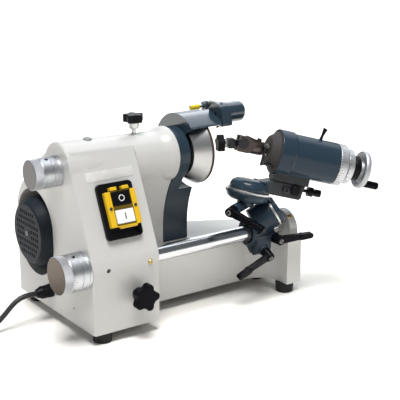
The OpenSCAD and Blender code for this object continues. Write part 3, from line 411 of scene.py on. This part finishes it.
def make_plastics():
    """Knobs, switch, lead, label and feet; the switch frame's pocket is darkened as painted shade."""
    c = colours()
    moulded("black_plastic", (0.004, 0.004, 0.005), 0.4, specular=0.14)
    moulded("knob_plastic", KNOB_BLACK, 0.26, grain=0.00001, specular=0.06)
    moulded("fan_plastic", (0.014, 0.019, 0.025), 0.46, specular=0.12)
    moulded("white_plastic", (0.78, 0.78, 0.76), 0.3)
    moulded("lemon_plastic", tuple(c.lemon), 0.38)
    moulded("cord_pvc", CORD_BLACK, 0.44)
    moulded("rubber", (0.012, 0.012, 0.012), 0.72, grain=0.0001, specular=0.3)
    moulded("label_film", shade(tuple(c.casting), 1.01), 0.26, grain=0.000004)
    moulded("grey_plug", (0.22, 0.23, 0.24), 0.5)
    yellow = tuple(c.yellow)
    f = moulded("yellow_plastic", yellow, 0.34)
    # Inside the frame's pocket round the buttons the yellow is darkened to near black: painted shade in the
    # recess
    offset = f.away(panel_spot(SWITCH_X, SWITCH_UP, 0))
    wide, high = POCKET_HALF
    shaded_pocket = (f.dot(offset, ALONG).size() < wide) * (f.dot(offset, PANEL_UP).size() < high)
    f.set("Base Color", f.mix(shaded_pocket, yellow, shade(yellow, 0.16)))


def make_metal_ended():
    """Knobs with a steel stud or hub, and the mains plug with its pins."""
    f = moulded("stud_knob", KNOB_BLACK, 0.26, grain=0.00001, specular=0.14)
    metal_end(f, f.dot(f.place, UP) < STUD_TOP, KNOB_BLACK, (0.55, 0.55, 0.54))
    f = moulded("tool_knob", KNOB_BLACK, 0.46, grain=0.00001, specular=0.14)
    metal_end(f, f.dot(f.away(TOOL_PIVOT), TOOL) < HUB_END, KNOB_BLACK, (0.50, 0.49, 0.46))
    f = moulded("plug_rubber", CORD_BLACK, 0.44)
    pin_end = min(v.co.x for v in NODES["mains_plug"].data.vertices)
    metal_end(f, f.dot(f.place, ALONG) < (pin_end + PIN_LENGTH), CORD_BLACK, (0.60, 0.55, 0.42))


def make_dials():
    """Feed dials: a face in a darker colour than the rim, graduations and a knurled grip."""
    # Each dial's face gets its own darker colour
    for name, origin, radius, face_colour in (
        ("upper_dial_metal", SPINDLE, UPPER_DIAL_RADIUS, (0.155, 0.15, 0.155)),
        ("lower_dial_metal", BAR, LOWER_DIAL_RADIUS, (0.15, 0.118, 0.096)),
    ):
        f, along, r, turn = turned(name, DIAL_SILVER, 0.34, origin, ALONG, 0.0004)
        face = (r < (radius - DIAL_RIM)) * (along < DIAL_FACE)
        base = f.mix(face, f.mix(f.noise(60, 2), shade(DIAL_SILVER, 0.92), DIAL_SILVER), face_colour)
        mark = scale_marks(f, along, turn, DIAL_SCALE, DIAL_SCALE + DIAL_MARKS, 50, (0.2, 0.2, 0.2), base,
                           width=0.09)
        grip = (along < DIAL_GRIP) * (r > (radius - KNURL_BAND))
        rise = turn * KNURLS + along * KNURL_SLANT
        fall = turn * KNURLS - along * KNURL_SLANT
        f.bump(rise.sine() * fall.sine() * grip, KNURL_HEIGHT)
        f.set("Roughness", 0.38 + grip * 0.1 + mark * 0.2)


def make_scales():
    """Graduated rings of the work spindle and the two swivels."""
    f, along, r, turn = turned("work_scale", RING_SILVER, 0.44, CROSSING, WORK, 0.0005)
    base = f.mix(f.noise(50, 2), shade(RING_SILVER, 0.93), RING_SILVER)
    first = scale_marks(f, along, turn, *LARGE_RING, 48, RING_INK, base, major=4, width=0.07)
    marked = f.mix(first, base, RING_INK)
    scale_marks(f, along, turn, *SMALL_RING, 24, RING_INK, marked, major=6, width=0.05)
    for name, origin, axis, start in (
        ("taper_scale", CROSSING, SWIVEL, TAPER_SCALE), ("relief_scale", RELIEF_AT, RELIEF, 0.0)
    ):
        f, along, r, turn = turned(name, (0.66, 0.66, 0.65), 0.36, origin, axis, 0.0005)
        scale_marks(f, along, turn, start, start + SWIVEL_MARKS, 180, (0.04, 0.04, 0.04), (0.64, 0.64, 0.63),
                    width=0.2)


def make_metals():
    """Turned steel, aluminium, chrome and brass."""
    turned("spindle_steel", (0.62, 0.62, 0.61), 0.24, SPINDLE, ALONG)
    turned("motor_steel", (0.55, 0.55, 0.54), 0.3, MOTOR, ALONG)
    turned("nose_steel", (0.17, 0.17, 0.175), 0.3, CROSSING, WORK)
    turned("wheel_aluminium", (0.56, 0.555, 0.55), 0.34, SPINDLE, ALONG, 0.0006, 0.000012)
    turned("handwheel_aluminium", (0.50, 0.51, 0.53), 0.58, CROSSING, WORK)
    turned("bar_chrome", (0.70, 0.71, 0.73), 0.19, BAR, ALONG, 0.0009, 0.0000008, faces=False)
    turned("rod_steel", (0.62, 0.62, 0.6), 0.28, DIAMOND, ALONG)
    turned("brass", (0.50, 0.38, 0.17), 0.36, BAR, ALONG)
    turned("screw_steel", (0.20, 0.20, 0.20), 0.32, CROSSING, SWIVEL, 0.0003)
    turned("black_steel", (0.055, 0.055, 0.06), 0.38, CROSSING, WORK, 0.0007, 0.00001)
    f = turned("burnished_steel", (0.112, 0.092, 0.084), 0.36, CROSSING, WORK, 0.0007, 0.00002)[0]
    f.bump(f.noise(500, 4), 0.00008)


def make_grit_and_paper():
    """Bonded grit of the wheel's rim, and the stage's floor."""
    f = Finish("abrasive", (0.05, 0.03, 0.024), 0.9)
    grit = f.pits(2600)
    f.set("Base Color", f.mix(grit, (0.022, 0.014, 0.012), (0.085, 0.052, 0.042)))
    f.bump(grit, 0.0003)
    f = Finish("floor_paper", (0.96, 0.93, 0.88), 0.85)
    f.set("Base Color", f.mix(f.noise(3, 2), (0.95, 0.92, 0.87), (0.97, 0.94, 0.89)))


# Finish of each node, where it isn't its slot's own
NODE_FINISH = {
    "upper_dial": "upper_dial_metal", "upper_dial_sleeve": "upper_dial_metal",
    "lower_dial": "lower_dial_metal", "lower_dial_sleeve": "lower_dial_metal",
    "spindle_quill": "spindle_steel", "spindle_bearings": "spindle_steel",
    "grinding_spindle": "spindle_steel", "spindle_pulley": "spindle_steel", "wheel_nut": "spindle_steel",
    "work_spindle": "nose_steel", "motor_shaft": "motor_steel", "motor_pulley": "motor_steel",
    "diamond_rod": "rod_steel",
    "relief_scale_ring": "relief_scale", "taper_scale_ring": "taper_scale",
    "index_ring_large": "work_scale", "index_ring_small": "work_scale",
    "tool_holder": "burnished_steel", "tool_clevis": "black_steel", "tooth_rest": "black_steel",
    "carriage_bush": "black_steel", "workhead_housing": "workhead_paint", "swivel_arm": "bracket_paint",
    "wheel_hood": "hood_paint", "dresser_arm": "hood_paint", "mains_plug": "plug_rubber",
    "cup_wheel": "wheel_aluminium", "handwheel": "handwheel_aluminium", "guide_bar": "bar_chrome",
    "fan_cover": "fan_plastic", "tool_star_knob": "tool_knob", "barrel_clamp_knob": "stud_knob",
    "bar_clamp_knob": "knob_plastic", "crank_grip": "knob_plastic", "carriage_lever": "knob_plastic",
    "relief_lever": "knob_plastic", "taper_lever": "knob_plastic",
}

# Edge radius of each node in mm; a node that isn't listed keeps its sharp edges
EDGE = {
    "belt_cover": 1.6, "wheel_hood": 0.08, "fan_cover": 1.6, "elbow": 1.2, "carriage": 1.4, "swivel_arm": 1.8,
    "workhead_housing": 1.2, "dresser_arm": 0.6, "switch_plate": 1.0, "switch_frame": 0.9, "stop_button": 1.2,
    "start_button": 1.2, "tool_star_knob": 1.2, "barrel_clamp_knob": 1.4, "bar_clamp_knob": 1.8,
    "carriage_lever": 1.0, "relief_lever": 1.0, "taper_lever": 1.0, "tool_holder": 0.7, "tool_clevis": 0.7,
    "handwheel": 0.6, "crank_grip": 0.5, "upper_dial": 0.4, "lower_dial": 0.4, "upper_dial_sleeve": 0.3,
    "lower_dial_sleeve": 0.3, "cup_wheel": 0.4, "abrasive_rim": 0.3, "rubber_feet": 1.0, "mains_plug": 0.7,
    "cable_gland": 0.6, "coil_tie": 0.25, "slide_clamp_knob": 0.5, "stop_screw": 0.4,
    "index_ring_large": 0.3, "index_ring_small": 0.3, "spindle_collar": 0.4, "index_lever": 0.3,
    "tip_cap": 0.5, "oil_cups": 0.2, "taper_scale_ring": 0.2, "relief_scale_ring": 0.2, "work_spindle": 0.4,
    "wheel_nut": 0.4,
}


def only(piece):
    """Selects one piece alone and makes it active."""
    bpy.ops.object.select_all(action="DESELECT")
    piece.select_set(True)
    bpy.context.view_layer.objects.active = piece


def apply(piece, modifier):
    """Makes a modifier part of its piece's mesh."""
    only(piece)
    bpy.ops.object.modifier_apply(modifier=modifier.name)


def wear(piece, finish, body):
    """Gives a new piece its finish and puts it on its body."""
    piece.data.materials.clear()
    piece.data.materials.append(FINISHES[finish])
    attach(piece, body)


# An edge that turns by more than this is rounded
SHARP = math.radians(18)


def edge_turns(mesh):
    """Turn between the two faces at each edge of a mesh, in radians, by the edge's two vertices."""
    meeting = {}
    for face in mesh.polygons:
        for key in face.edge_keys:
            meeting.setdefault(key, []).append(face.normal)
    return {key: pair[0].angle(pair[1], 0) for key, pair in meeting.items() if len(pair) == 2}


def soften(node, radius, share=None):
    """Stands a copy of a CAD node, with rounded edges, in its place. share(middle, length) gives the part
    of the radius that an edge takes."""
    source = NODES[node]
    piece = bpy.data.objects.new(node + "_form", source.data.copy())
    bpy.context.scene.collection.objects.link(piece)
    only(piece)
    bpy.ops.object.mode_set(mode="EDIT")
    bpy.ops.mesh.select_all(action="SELECT")
    bpy.ops.mesh.remove_doubles(threshold=0.000002)
    bpy.ops.mesh.dissolve_limited(angle_limit=math.radians(0.5))
    bpy.ops.object.mode_set(mode="OBJECT")
    mesh = piece.data
    turns = edge_turns(mesh)
    weights = mesh.attributes.new("bevel_weight_edge", "FLOAT", "EDGE")
    for edge in mesh.edges:
        if turns.get(edge.key, 0) > SHARP:
            first, second = (mesh.vertices[i].co for i in edge.vertices)
            part = share((first + second) / 2, (first - second).length) if share else 1
            weights.data[edge.index].value = part
    edges = piece.modifiers.new("edges", "BEVEL")
    edges.width = radius * MM
    edges.segments = 3
    edges.limit_method = "WEIGHT"
    edges.use_clamp_overlap = False
    edges.miter_outer = "MITER_ARC"
    apply(piece, edges)
    smooth(piece, 40)
    flat = piece.modifiers.new("flats", "WEIGHTED_NORMAL")
    flat.keep_sharp = True
    apply(piece, flat)
    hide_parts(node)
    return piece


# Bounds of the cast block's own edges, in mm
FOOT_TOP = 15.5
BED_START = 150
BLOCK_DEPTH = 75
BLOCK_WIDTH = 103
TINY_EDGE = 2.2
LONG_EDGE = 10


def casting_share(middle, length):
    """Full rounding on the front block's long edges, a touch elsewhere, none under the foot."""
    x, y, z = middle / MM + ORIGIN
    if z < FOOT_TOP:
        return 0.0
    if length < TINY_EDGE * MM or x > BED_START:
        return 0.08
    outer = (x < 0.5 and y < BLOCK_DEPTH) or (y < 1 and x < BLOCK_WIDTH)
    return 1.0 if outer and length > LONG_EDGE * MM else 0.12


# Radius outside which the fan cover has only its rim
FAN_RIM = 0.0385


def cover_share(middle, length):
    """Rounds the fan cover's rim and leaves its slots sharp."""
    away = middle - MOTOR
    return 1.0 if math.hypot(away.y, away.z) > FAN_RIM else 0.0


SHARES = {"machine_frame": casting_share, "fan_cover": cover_share}


def turn_to(axis, at):
    """Matrix that stands a piece's z axis along another axis, at a place."""
    return Matrix.Translation(at) @ Vector(axis).to_track_quat("Z", "Y").to_matrix().to_4x4()


def join(name, parts):
    """Makes several objects one piece."""
    bpy.ops.object.select_all(action="DESELECT")
    for part in parts:
        part.select_set(True)
    bpy.context.view_layer.objects.active = parts[0]
    if len(parts) > 1:
        bpy.ops.object.join()
    piece = bpy.context.view_layer.objects.active
    piece.name = name
    piece.data.name = name
    return piece


def seat(piece, matrix):
    """Moves a piece's mesh to its place, with the object left at the origin."""
    piece.data.transform(matrix)
    piece.matrix_world = Matrix.Identity(4)


def combine(piece, tool, operation):
    """Boolean of two pieces; the second is used up."""
    step = piece.modifiers.new("combine", "BOOLEAN")
    step.operation = operation
    step.object = tool
    step.solver = "EXACT"
    apply(piece, step)
    bpy.data.objects.remove(tool)


def round_edges(piece, width, segments, angle=30):
    """Bevels the edges that turn by more than an angle in degrees."""
    edges = piece.modifiers.new("edges", "BEVEL")
    edges.width = width
    edges.segments = segments
    edges.limit_method = "ANGLE"
    edges.angle_limit = math.radians(angle)
    apply(piece, edges)


def smooth(piece, angle=30):
    """Shades a piece smooth up to an angle in degrees."""
    only(piece)
    bpy.ops.object.shade_smooth_by_angle(angle=math.radians(angle))


def block_between(low, high):
    """Block between two corners in mm, ready to combine."""
    low, high = Vector(low) * MM, Vector(high) * MM
    bpy.ops.object.select_all(action="DESELECT")
    bpy.ops.mesh.primitive_cube_add(size=1, location=(low + high) / 2, scale=high - low)
    bpy.ops.object.transform_apply(location=True, rotation=True, scale=True)
    return bpy.context.object


def socket_screw(radius, height, socket):
    """Round screw head with a hexagon socket, on the origin, up z."""
    bpy.ops.object.select_all(action="DESELECT")
    bpy.ops.mesh.primitive_cylinder_add(vertices=32, radius=radius, depth=height, location=(0, 0, height / 2))
    head = bpy.context.object
    bpy.ops.object.transform_apply(location=True)
    round_edges(head, radius * 0.14, 3)
    bpy.ops.object.select_all(action="DESELECT")
    bpy.ops.mesh.primitive_cylinder_add(vertices=6, radius=socket, depth=height * 1.2,
                                        location=(0, 0, height))
    combine(head, bpy.context.object, "DIFFERENCE")
    smooth(head)
    return head


def copies(name, model, places):
    """Copies of a model at several (axis, place) pairs, as one piece."""
    parts = []
    for axis, place in places:
        part = bpy.data.objects.new(name, model.data.copy())
        bpy.context.scene.collection.objects.link(part)
        seat(part, turn_to(axis, place))
        parts.append(part)
    bpy.data.objects.remove(model)
    return join(name, parts)


def fit_screws(name, head, places, finish, body):
    """Socket screws at (axis, place) pairs, as one piece. A head is its radius, height and socket in mm."""
    screws = copies(name, socket_screw(*(size * MM for size in head)), places)
    wear(screws, finish, body)


def plaque(width, height, thick, corner):
    """Flat plate with round corners and a soft rim, standing on the origin."""
    bpy.ops.object.select_all(action="DESELECT")
    bpy.ops.mesh.primitive_cube_add(size=1, location=(0, 0, thick / 2), scale=(width, height, thick))
    plate = bpy.context.object
    bpy.ops.object.transform_apply(location=True, rotation=True, scale=True)
    bpy.ops.object.mode_set(mode="EDIT")
    bpy.ops.mesh.select_all(action="DESELECT")
    bpy.ops.object.mode_set(mode="OBJECT")
    for edge in plate.data.edges:
        ends = [plate.data.vertices[i].co for i in edge.vertices]
        edge.select = abs(ends[0].z - ends[1].z) > thick / 2
    bpy.ops.object.mode_set(mode="EDIT")
    bpy.ops.mesh.select_mode(type="EDGE")
    bpy.ops.mesh.bevel(offset=corner, segments=6)
    bpy.ops.object.mode_set(mode="OBJECT")
    round_edges(plate, thick * 0.3, 2, angle=50)
    smooth(plate)
    return plate


def panel_matrix(x, up, out):
    """Matrix that lays a piece on the leaning front panel."""
    turn = Matrix((ALONG, PANEL_UP, PANEL_OUT)).transposed().to_4x4()
    return Matrix.Translation(panel_spot(x, up, out)) @ turn


# The photograph's viewpoint
CAMERA_AT = spot(-609.4, -1089.8, 567.6)
CAMERA_HEADING = math.radians(35.51)
CAMERA_DIP = math.radians(16.44)
CAMERA_LENS = 93.0
CAMERA_SENSOR = 36

# The studio: its sky, its key light, and soft screens with their place, target, width and power
SKY = (0.86, 0.93, 1, 1)
SKY_STRENGTH = 0.15
KEY_AIM = (0.12, 0.19, -0.97)
KEY_STRENGTH = 4.0
KEY_SPREAD = math.radians(30)
SCREEN_TINT = (0.9, 0.95, 1)
SCREENS = (
    ("left_strip", (-1.4, -0.3, 1.0), (-0.1, 0.05, 0.15), 0.4, 2),
    ("front_strip", (-0.2, -1.6, 1.5), (0.05, 0, 0.15), 0.25, 1.2),
    ("right_screen", (1.05, 0.65, 1.55), (0.05, 0.05, 0.2), 1.6, 13),
    ("back_screen", (1.2, 1.75, 1.05), (0, 0, 0.2), 1.5, 6),
)
FLOOR_WIDTH = 14
FLOOR_DROP = 0.0002


def set_camera(scene):
    """Stands the camera where the photograph was taken."""
    camera = bpy.data.objects.new("camera", bpy.data.cameras.new("camera"))
    scene.collection.objects.link(camera)
    camera.data.sensor_width = CAMERA_SENSOR
    camera.data.lens = CAMERA_LENS
    camera.data.clip_end = 20
    turn = Matrix.Rotation(-CAMERA_HEADING, 4, "Z") @ Matrix.Rotation(math.pi / 2 - CAMERA_DIP, 4, "X")
    camera.matrix_world = Matrix.Translation(CAMERA_AT) @ turn
    scene.camera = camera


def hang_light(scene, name, kind, power, direction):
    """A new light that shines along a direction."""
    light = bpy.data.objects.new(name, bpy.data.lights.new(name, kind))
    scene.collection.objects.link(light)
    light.data.energy = power
    light.rotation_euler = Vector(direction).to_track_quat("-Z", "Y").to_euler()
    return light


class GRINDER_OT_stage(bpy.types.Operator):
    """Set the floor, the soft lights and the camera"""

    bl_idname = "grinder.stage"
    bl_label = "Stage"

    def execute(self, context):
        scene = context.scene
        set_camera(scene)
        bpy.ops.object.select_all(action="DESELECT")
        bpy.ops.mesh.primitive_plane_add(size=FLOOR_WIDTH, location=(0, 0, -FLOOR_DROP))
        floor = context.object
        floor.name = "floor"
        floor.data.materials.append(FINISHES["floor_paper"])
        world = bpy.data.worlds.new("studio")
        scene.world = world
        world.use_nodes = True
        back = world.node_tree.nodes["Background"]
        back.inputs["Color"].default_value = SKY
        back.inputs["Strength"].default_value = SKY_STRENGTH
        sun = hang_light(scene, "key", "SUN", KEY_STRENGTH, KEY_AIM)
        sun.data.angle = KEY_SPREAD
        for name, place, target, width, power in SCREENS:
            light = hang_light(scene, name, "AREA", power, Vector(target) - Vector(place))
            light.data.size = width
            light.data.color = SCREEN_TINT
            light.location = place
        scene.view_settings.view_transform = "Standard"
        return {"FINISHED"}


# The mains lead's route, as in the CAD: along, depth and height in mm
LEAD_ROUTE = (
    (-24, 118, 43), (-32, 118, 43.4), (-40, 118, 43.2), (-48, 118, 41.5), (-55, 118, 38), (-61, 118, 33.5),
    (-67, 118, 28), (-73, 118, 22.5), (-80, 117.8, 17), (-88, 117.3, 12.2), (-97, 116.7, 8.6),
    (-107, 116, 6.2), (-116, 115.6, 5), (-123, 115.5, 4.7),
)
# The stored coil in mm: its turns and their facets, the step between turns, the outer radius, the middle,
# and the straight end that runs to the plug
COIL_TURNS = 6
COIL_FACETS = 48
COIL_STEP = 7.6
COIL_OUT = 49.4
COIL_AT = (-130, 164.9, 4.7)
COIL_END = 30


def coil_place(t):
    """Centre line of the stored coil after t turns: in along one layer, out along the next."""
    half = COIL_TURNS / 2
    radius = COIL_OUT - COIL_STEP * (half - abs(half - t))
    climb = min(1, max(0, (t - half) * 2 + 0.5))
    angle = -math.pi / 2 - math.tau * t
    return (COIL_AT[0] + radius * math.cos(angle), COIL_AT[1] + radius * math.sin(angle),
            COIL_AT[2] + COIL_STEP * climb * climb * (3 - 2 * climb))


class GRINDER_OT_mains_lead(bpy.types.Operator):
    """Lay the mains lead from its gland into its stored coil"""

    bl_idname = "grinder.mains_lead"
    bl_label = "Mains lead"

    def execute(self, context):
        end = coil_place(COIL_TURNS)
        route = list(LEAD_ROUTE) + [coil_place(i / COIL_FACETS) for i in range(COIL_FACETS * COIL_TURNS + 1)]
        route += [(end[0] - COIL_END / 2, end[1], end[2]), (end[0] - COIL_END, end[1], end[2])]
        points = [spot(*p) for p in route]
        line = bpy.data.curves.new("mains_lead", "CURVE")
        line.dimensions = "3D"
        line.bevel_depth = sizes().lead / 2
        line.bevel_resolution = 4
        line.use_fill_caps = True
        spline = line.splines.new("POLY")
        spline.points.add(len(points) - 1)
        for point, place in zip(spline.points, points):
            point.co = (*place, 1)
        lead = bpy.data.objects.new("mains_lead", line)
        context.scene.collection.objects.link(lead)
        wear(lead, "cord_pvc", "base")
        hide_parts("power_cord", "cord_coil")
        return {"FINISHED"}


class GRINDER_OT_finishes(bpy.types.Operator):
    """Make the finishes"""

    bl_idname = "grinder.finishes"
    bl_label = "Finishes"

    def execute(self, context):
        make_paints()
        make_plastics()
        make_metal_ended()
        make_dials()
        make_scales()
        make_metals()
        make_grit_and_paper()
        return {"FINISHED"}


class GRINDER_OT_bodies(bpy.types.Operator):
    """Round the edges of the machine's parts and paint them"""

    bl_idname = "grinder.bodies"
    bl_label = "Bodies"

    def execute(self, context):
        edges = {"machine_frame": sizes().cast_edge / MM, **EDGE}
        for node in NODES:
            finish = NODE_FINISH.get(node, SLOT_OF[node])
            if node in edges:
                piece = soften(node, edges[node], SHARES.get(node))
                wear(piece, finish, BODY_OF[node])
            else:
                NODES[node].data.materials.clear()
                NODES[node].data.materials.append(FINISHES[finish])
        return {"FINISHED"}


# Screw heads in mm: radius, height and the socket's radius
SWITCH_SCREW = (2.2, 0.9, 1.1)
LEVER_SCREW = (3.6, 2.6, 1.8)
BRACKET_BOLT = (5.2, 4, 2.6)
FAN_SCREW = (3.4, 1.6, 1.5)
SET_SCREW = (2.5, 0.7, 1.4)
TOOL_SCREW = (3.4, 4.2, 1.8)


# Marks, label and screws on the front panel: sizes in metres, places in mm along, up and out
STOP_RING = {"major_radius": 0.0038, "minor_radius": 0.00055, "major_segments": 40, "minor_segments": 8}
STOP_MARK_AT = (SWITCH_X, SWITCH_UP + BUTTON_STEP, 14)
START_BAR = (0.0014, 0.0085, 0.0006, 0.0005)
START_MARK_AT = (SWITCH_X, SWITCH_UP - BUTTON_STEP, 13.8)
LABEL = (0.072, 0.0135, 0.0003, 0.002)
LABEL_AT = (56, 117.5, 0)
SWITCH_SCREWS_AT = [(SWITCH_X + side, SWITCH_UP, 13) for side in (-18.5, 18.5)]


class GRINDER_OT_switch(bpy.types.Operator):
    """Mark the push buttons and fit the switch's screws and blank label"""

    bl_idname = "grinder.switch"
    bl_label = "Switch"

    def execute(self, context):
        bpy.ops.object.select_all(action="DESELECT")
        bpy.ops.mesh.primitive_torus_add(**STOP_RING)
        ring = context.object
        ring.name = "stop_mark"
        seat(ring, panel_matrix(*STOP_MARK_AT))
        only(ring)
        bpy.ops.object.shade_smooth()
        wear(ring, "white_plastic", "stop")
        bar = plaque(*START_BAR)
        bar.name = "start_mark"
        seat(bar, panel_matrix(*START_MARK_AT))
        wear(bar, "black_plastic", "start")
        label = plaque(*LABEL)
        label.name = "blank_label"
        seat(label, panel_matrix(*LABEL_AT))
        wear(label, "label_film", "base")
        places = [(PANEL_OUT, panel_spot(*place)) for place in SWITCH_SCREWS_AT]
        fit_screws("switch_screws", SWITCH_SCREW, places, "screw_steel", "base")
        return {"FINISHED"}


# Each clamping lever's body, the axis out of its hub, the hub's place, and how far out its screw sits in mm
CUP_AXIS = Vector((-0.9, -0.44, 0))
LEVERS = (
    ("lug_lever", Vector((0, -0.9, -0.43)), spot(288, 18, 79), 27.3),
    ("boss_lever", Vector((0, -0.99, -0.14)), spot(302, 2, 93), 14.3),
    ("cup_lever", CUP_AXIS, CROSSING - SWIVEL * 0.082 + CUP_AXIS * 0.036, 14.3),
)
BRACKET_BOLT_AT = head_spot(50, -14, -50)


class GRINDER_OT_lever_screws(bpy.types.Operator):
    """Fit the clamping levers' screws and the bracket's bolt"""

    bl_idname = "grinder.lever_screws"
    bl_label = "Lever screws"

    def execute(self, context):
        for body, axis, hub, reach in LEVERS:
            axis = axis.normalized()
            fit_screws(body + "_screw", LEVER_SCREW, [(axis, hub + axis * reach * MM)], "screw_steel", body)
        fit_screws("bracket_bolt", BRACKET_BOLT, [(-ACROSS, BRACKET_BOLT_AT)], "black_steel", "head_bracket")
        return {"FINISHED"}


# Domed plug on the spindle barrel
PLUG_RADIUS = 0.006
PLUG_DOME = 0.42
PLUG_SKIRT = 0.0012
PLUG_AXIS = (0, -0.1, 1)
PLUG_AT = spot(46, 86, 257.2)


class GRINDER_OT_barrel_plug(bpy.types.Operator):
    """Press the domed plug into the spindle barrel"""

    bl_idname = "grinder.barrel_plug"
    bl_label = "Barrel plug"

    def execute(self, context):
        bpy.ops.object.select_all(action="DESELECT")
        bpy.ops.mesh.primitive_uv_sphere_add(segments=32, ring_count=16, radius=PLUG_RADIUS,
                                             scale=(1, 1, PLUG_DOME))
        cap = context.object
        cap.name = "barrel_plug"
        bpy.ops.object.transform_apply(location=True, rotation=True, scale=True)
        bpy.ops.object.mode_set(mode="EDIT")
        bpy.ops.mesh.select_all(action="SELECT")
        bpy.ops.mesh.bisect(plane_co=(0, 0, 0), plane_no=(0, 0, 1), clear_inner=True, use_fill=True)
        bpy.ops.mesh.select_all(action="DESELECT")
        bpy.ops.object.mode_set(mode="OBJECT")
        for face in cap.data.polygons:
            face.select = face.normal.z < -0.9
        bpy.ops.object.mode_set(mode="EDIT")
        bpy.ops.mesh.extrude_region_move(TRANSFORM_OT_translate={"value": (0, 0, -PLUG_SKIRT)})
        bpy.ops.object.mode_set(mode="OBJECT")
        smooth(cap, 40)
        seat(cap, turn_to(PLUG_AXIS, PLUG_AT))
        wear(cap, "grey_plug", "base")
        return {"FINISHED"}


# Set screws lean forward: each one's body, the axis of what it sits on, that part's radius, and its place
# along the machine in mm
SET_LEAN = Vector((0, -0.3, 0.95)).normalized()
SET_SUNK = 0.0003
SET_SCREWS = (
    (BODY_OF["upper_dial"], SPINDLE, UPPER_DIAL_RADIUS, -18),
    (BODY_OF["lower_dial"], BAR, LOWER_DIAL_RADIUS, -18),
    (BODY_OF["wheel_hood"], spot(0, 66, 270.7), 0.016, 249),
)
FAN_SCREW_AT = MOTOR - ALONG * 12 * MM


class GRINDER_OT_set_screws(bpy.types.Operator):
    """Fit the fan cover's screw and the set screws of the dials and the dresser's boss"""

    bl_idname = "grinder.set_screws"
    bl_label = "Set screws"

    def execute(self, context):
        fit_screws("fan_screw", FAN_SCREW, [(-ALONG, FAN_SCREW_AT)], "screw_steel", "base")
        for body, axis_at, radius, x in SET_SCREWS:
            place = axis_at + ALONG * x * MM + SET_LEAN * (radius - SET_SUNK)
            fit_screws(body + "_set_screw", SET_SCREW, [(SET_LEAN, place)], "black_steel", body)
        return {"FINISHED"}


# Tool sleeve in mm, along the work axis, across it and up from the swivels' crossing
SLEEVE_RADIUS = 10.5
SLEEVE_LENGTH = 18.5
SLEEVE_MIDDLE = (-5, 0, 0)
SLEEVE_BLOCK = ((-20, -8, 0), (3, 8, 16))
SLEEVE_SLOT = ((-17, -1.9, 5), (-5, 1.9, 20))
SLEEVE_TOP = (-20, 0, 13.5)
SLEEVE_FALL = Vector((0.2, 0, 1)).normalized()
SLEEVE_EDGE = 0.6
TOOL_SCREW_AT = head_spot(-1.5, 0, 9)


class GRINDER_OT_tool_sleeve(bpy.types.Operator):
    """Build up the tool holder's sleeve with its sloping, slotted flat and clamp screw"""

    bl_idname = "grinder.tool_sleeve"
    bl_label = "Tool sleeve"

    def execute(self, context):
        bpy.ops.object.select_all(action="DESELECT")
        bpy.ops.mesh.primitive_cylinder_add(vertices=72, radius=SLEEVE_RADIUS * MM, depth=SLEEVE_LENGTH * MM,
                                            location=Vector(SLEEVE_MIDDLE) * MM, rotation=(0, math.pi / 2, 0))
        sleeve = context.object
        sleeve.name = "tool_sleeve"
        bpy.ops.object.transform_apply(location=True, rotation=True, scale=True)
        combine(sleeve, block_between(*SLEEVE_BLOCK), "UNION")
        only(sleeve)
        bpy.ops.object.mode_set(mode="EDIT")
        bpy.ops.mesh.select_all(action="SELECT")
        bpy.ops.mesh.bisect(plane_co=Vector(SLEEVE_TOP) * MM, plane_no=SLEEVE_FALL,
                            clear_outer=True, use_fill=True)
        bpy.ops.object.mode_set(mode="OBJECT")
        combine(sleeve, block_between(*SLEEVE_SLOT), "DIFFERENCE")
        round_edges(sleeve, SLEEVE_EDGE * MM, 2, angle=35)
        smooth(sleeve)
        head = Matrix((WORK, ACROSS, SWIVEL)).transposed().to_4x4()
        seat(sleeve, Matrix.Translation(CROSSING) @ head)
        body = BODY_OF["tool_holder"]
        wear(sleeve, "burnished_steel", body)
        axis = WORK * SLEEVE_FALL.x + SWIVEL * SLEEVE_FALL.z
        fit_screws("tool_screw", TOOL_SCREW, [(axis, TOOL_SCREW_AT)], "black_steel", body)
        return {"FINISHED"}


OPERATORS = (
    GRINDER_OT_finishes, GRINDER_OT_stage, GRINDER_OT_bodies, GRINDER_OT_mains_lead, GRINDER_OT_switch,
    GRINDER_OT_lever_screws, GRINDER_OT_barrel_plug, GRINDER_OT_set_screws, GRINDER_OT_tool_sleeve,
)


class GRINDER_PT_dressing(bpy.types.Panel):
    """Lists the steps that dress the grinder"""

    bl_idname = "GRINDER_PT_dressing"
    bl_label = "Tool grinder"
    bl_space_type = "VIEW_3D"
    bl_region_type = "UI"
    bl_category = "Grinder"

    def draw(self, context):
        for operator in OPERATORS:
            self.layout.operator(operator.bl_idname)
        for name in GrinderColours.__annotations__:
            self.layout.prop(context.scene.grinder_colours, name)
        for name in GrinderSizes.__annotations__:
            self.layout.prop(context.scene.grinder_sizes, name)


CLASSES = (GrinderColours, GrinderSizes, *OPERATORS, GRINDER_PT_dressing)


def register():
    for item in CLASSES:
        bpy.utils.register_class(item)
    bpy.types.Scene.grinder_colours = bpy.props.PointerProperty(type=GrinderColours)
    bpy.types.Scene.grinder_sizes = bpy.props.PointerProperty(type=GrinderSizes)


def unregister():
    del bpy.types.Scene.grinder_sizes
    del bpy.types.Scene.grinder_colours
    for item in reversed(CLASSES):
        bpy.utils.unregister_class(item)


def main():
    register()
    bpy.ops.grinder.finishes()
    bpy.ops.grinder.stage()
    bpy.ops.grinder.bodies()
    bpy.ops.grinder.mains_lead()
    bpy.ops.grinder.switch()
    bpy.ops.grinder.lever_screws()
    bpy.ops.grinder.barrel_plug()
    bpy.ops.grinder.set_screws()
    bpy.ops.grinder.tool_sleeve()


if __name__ == "__main__":
    main()
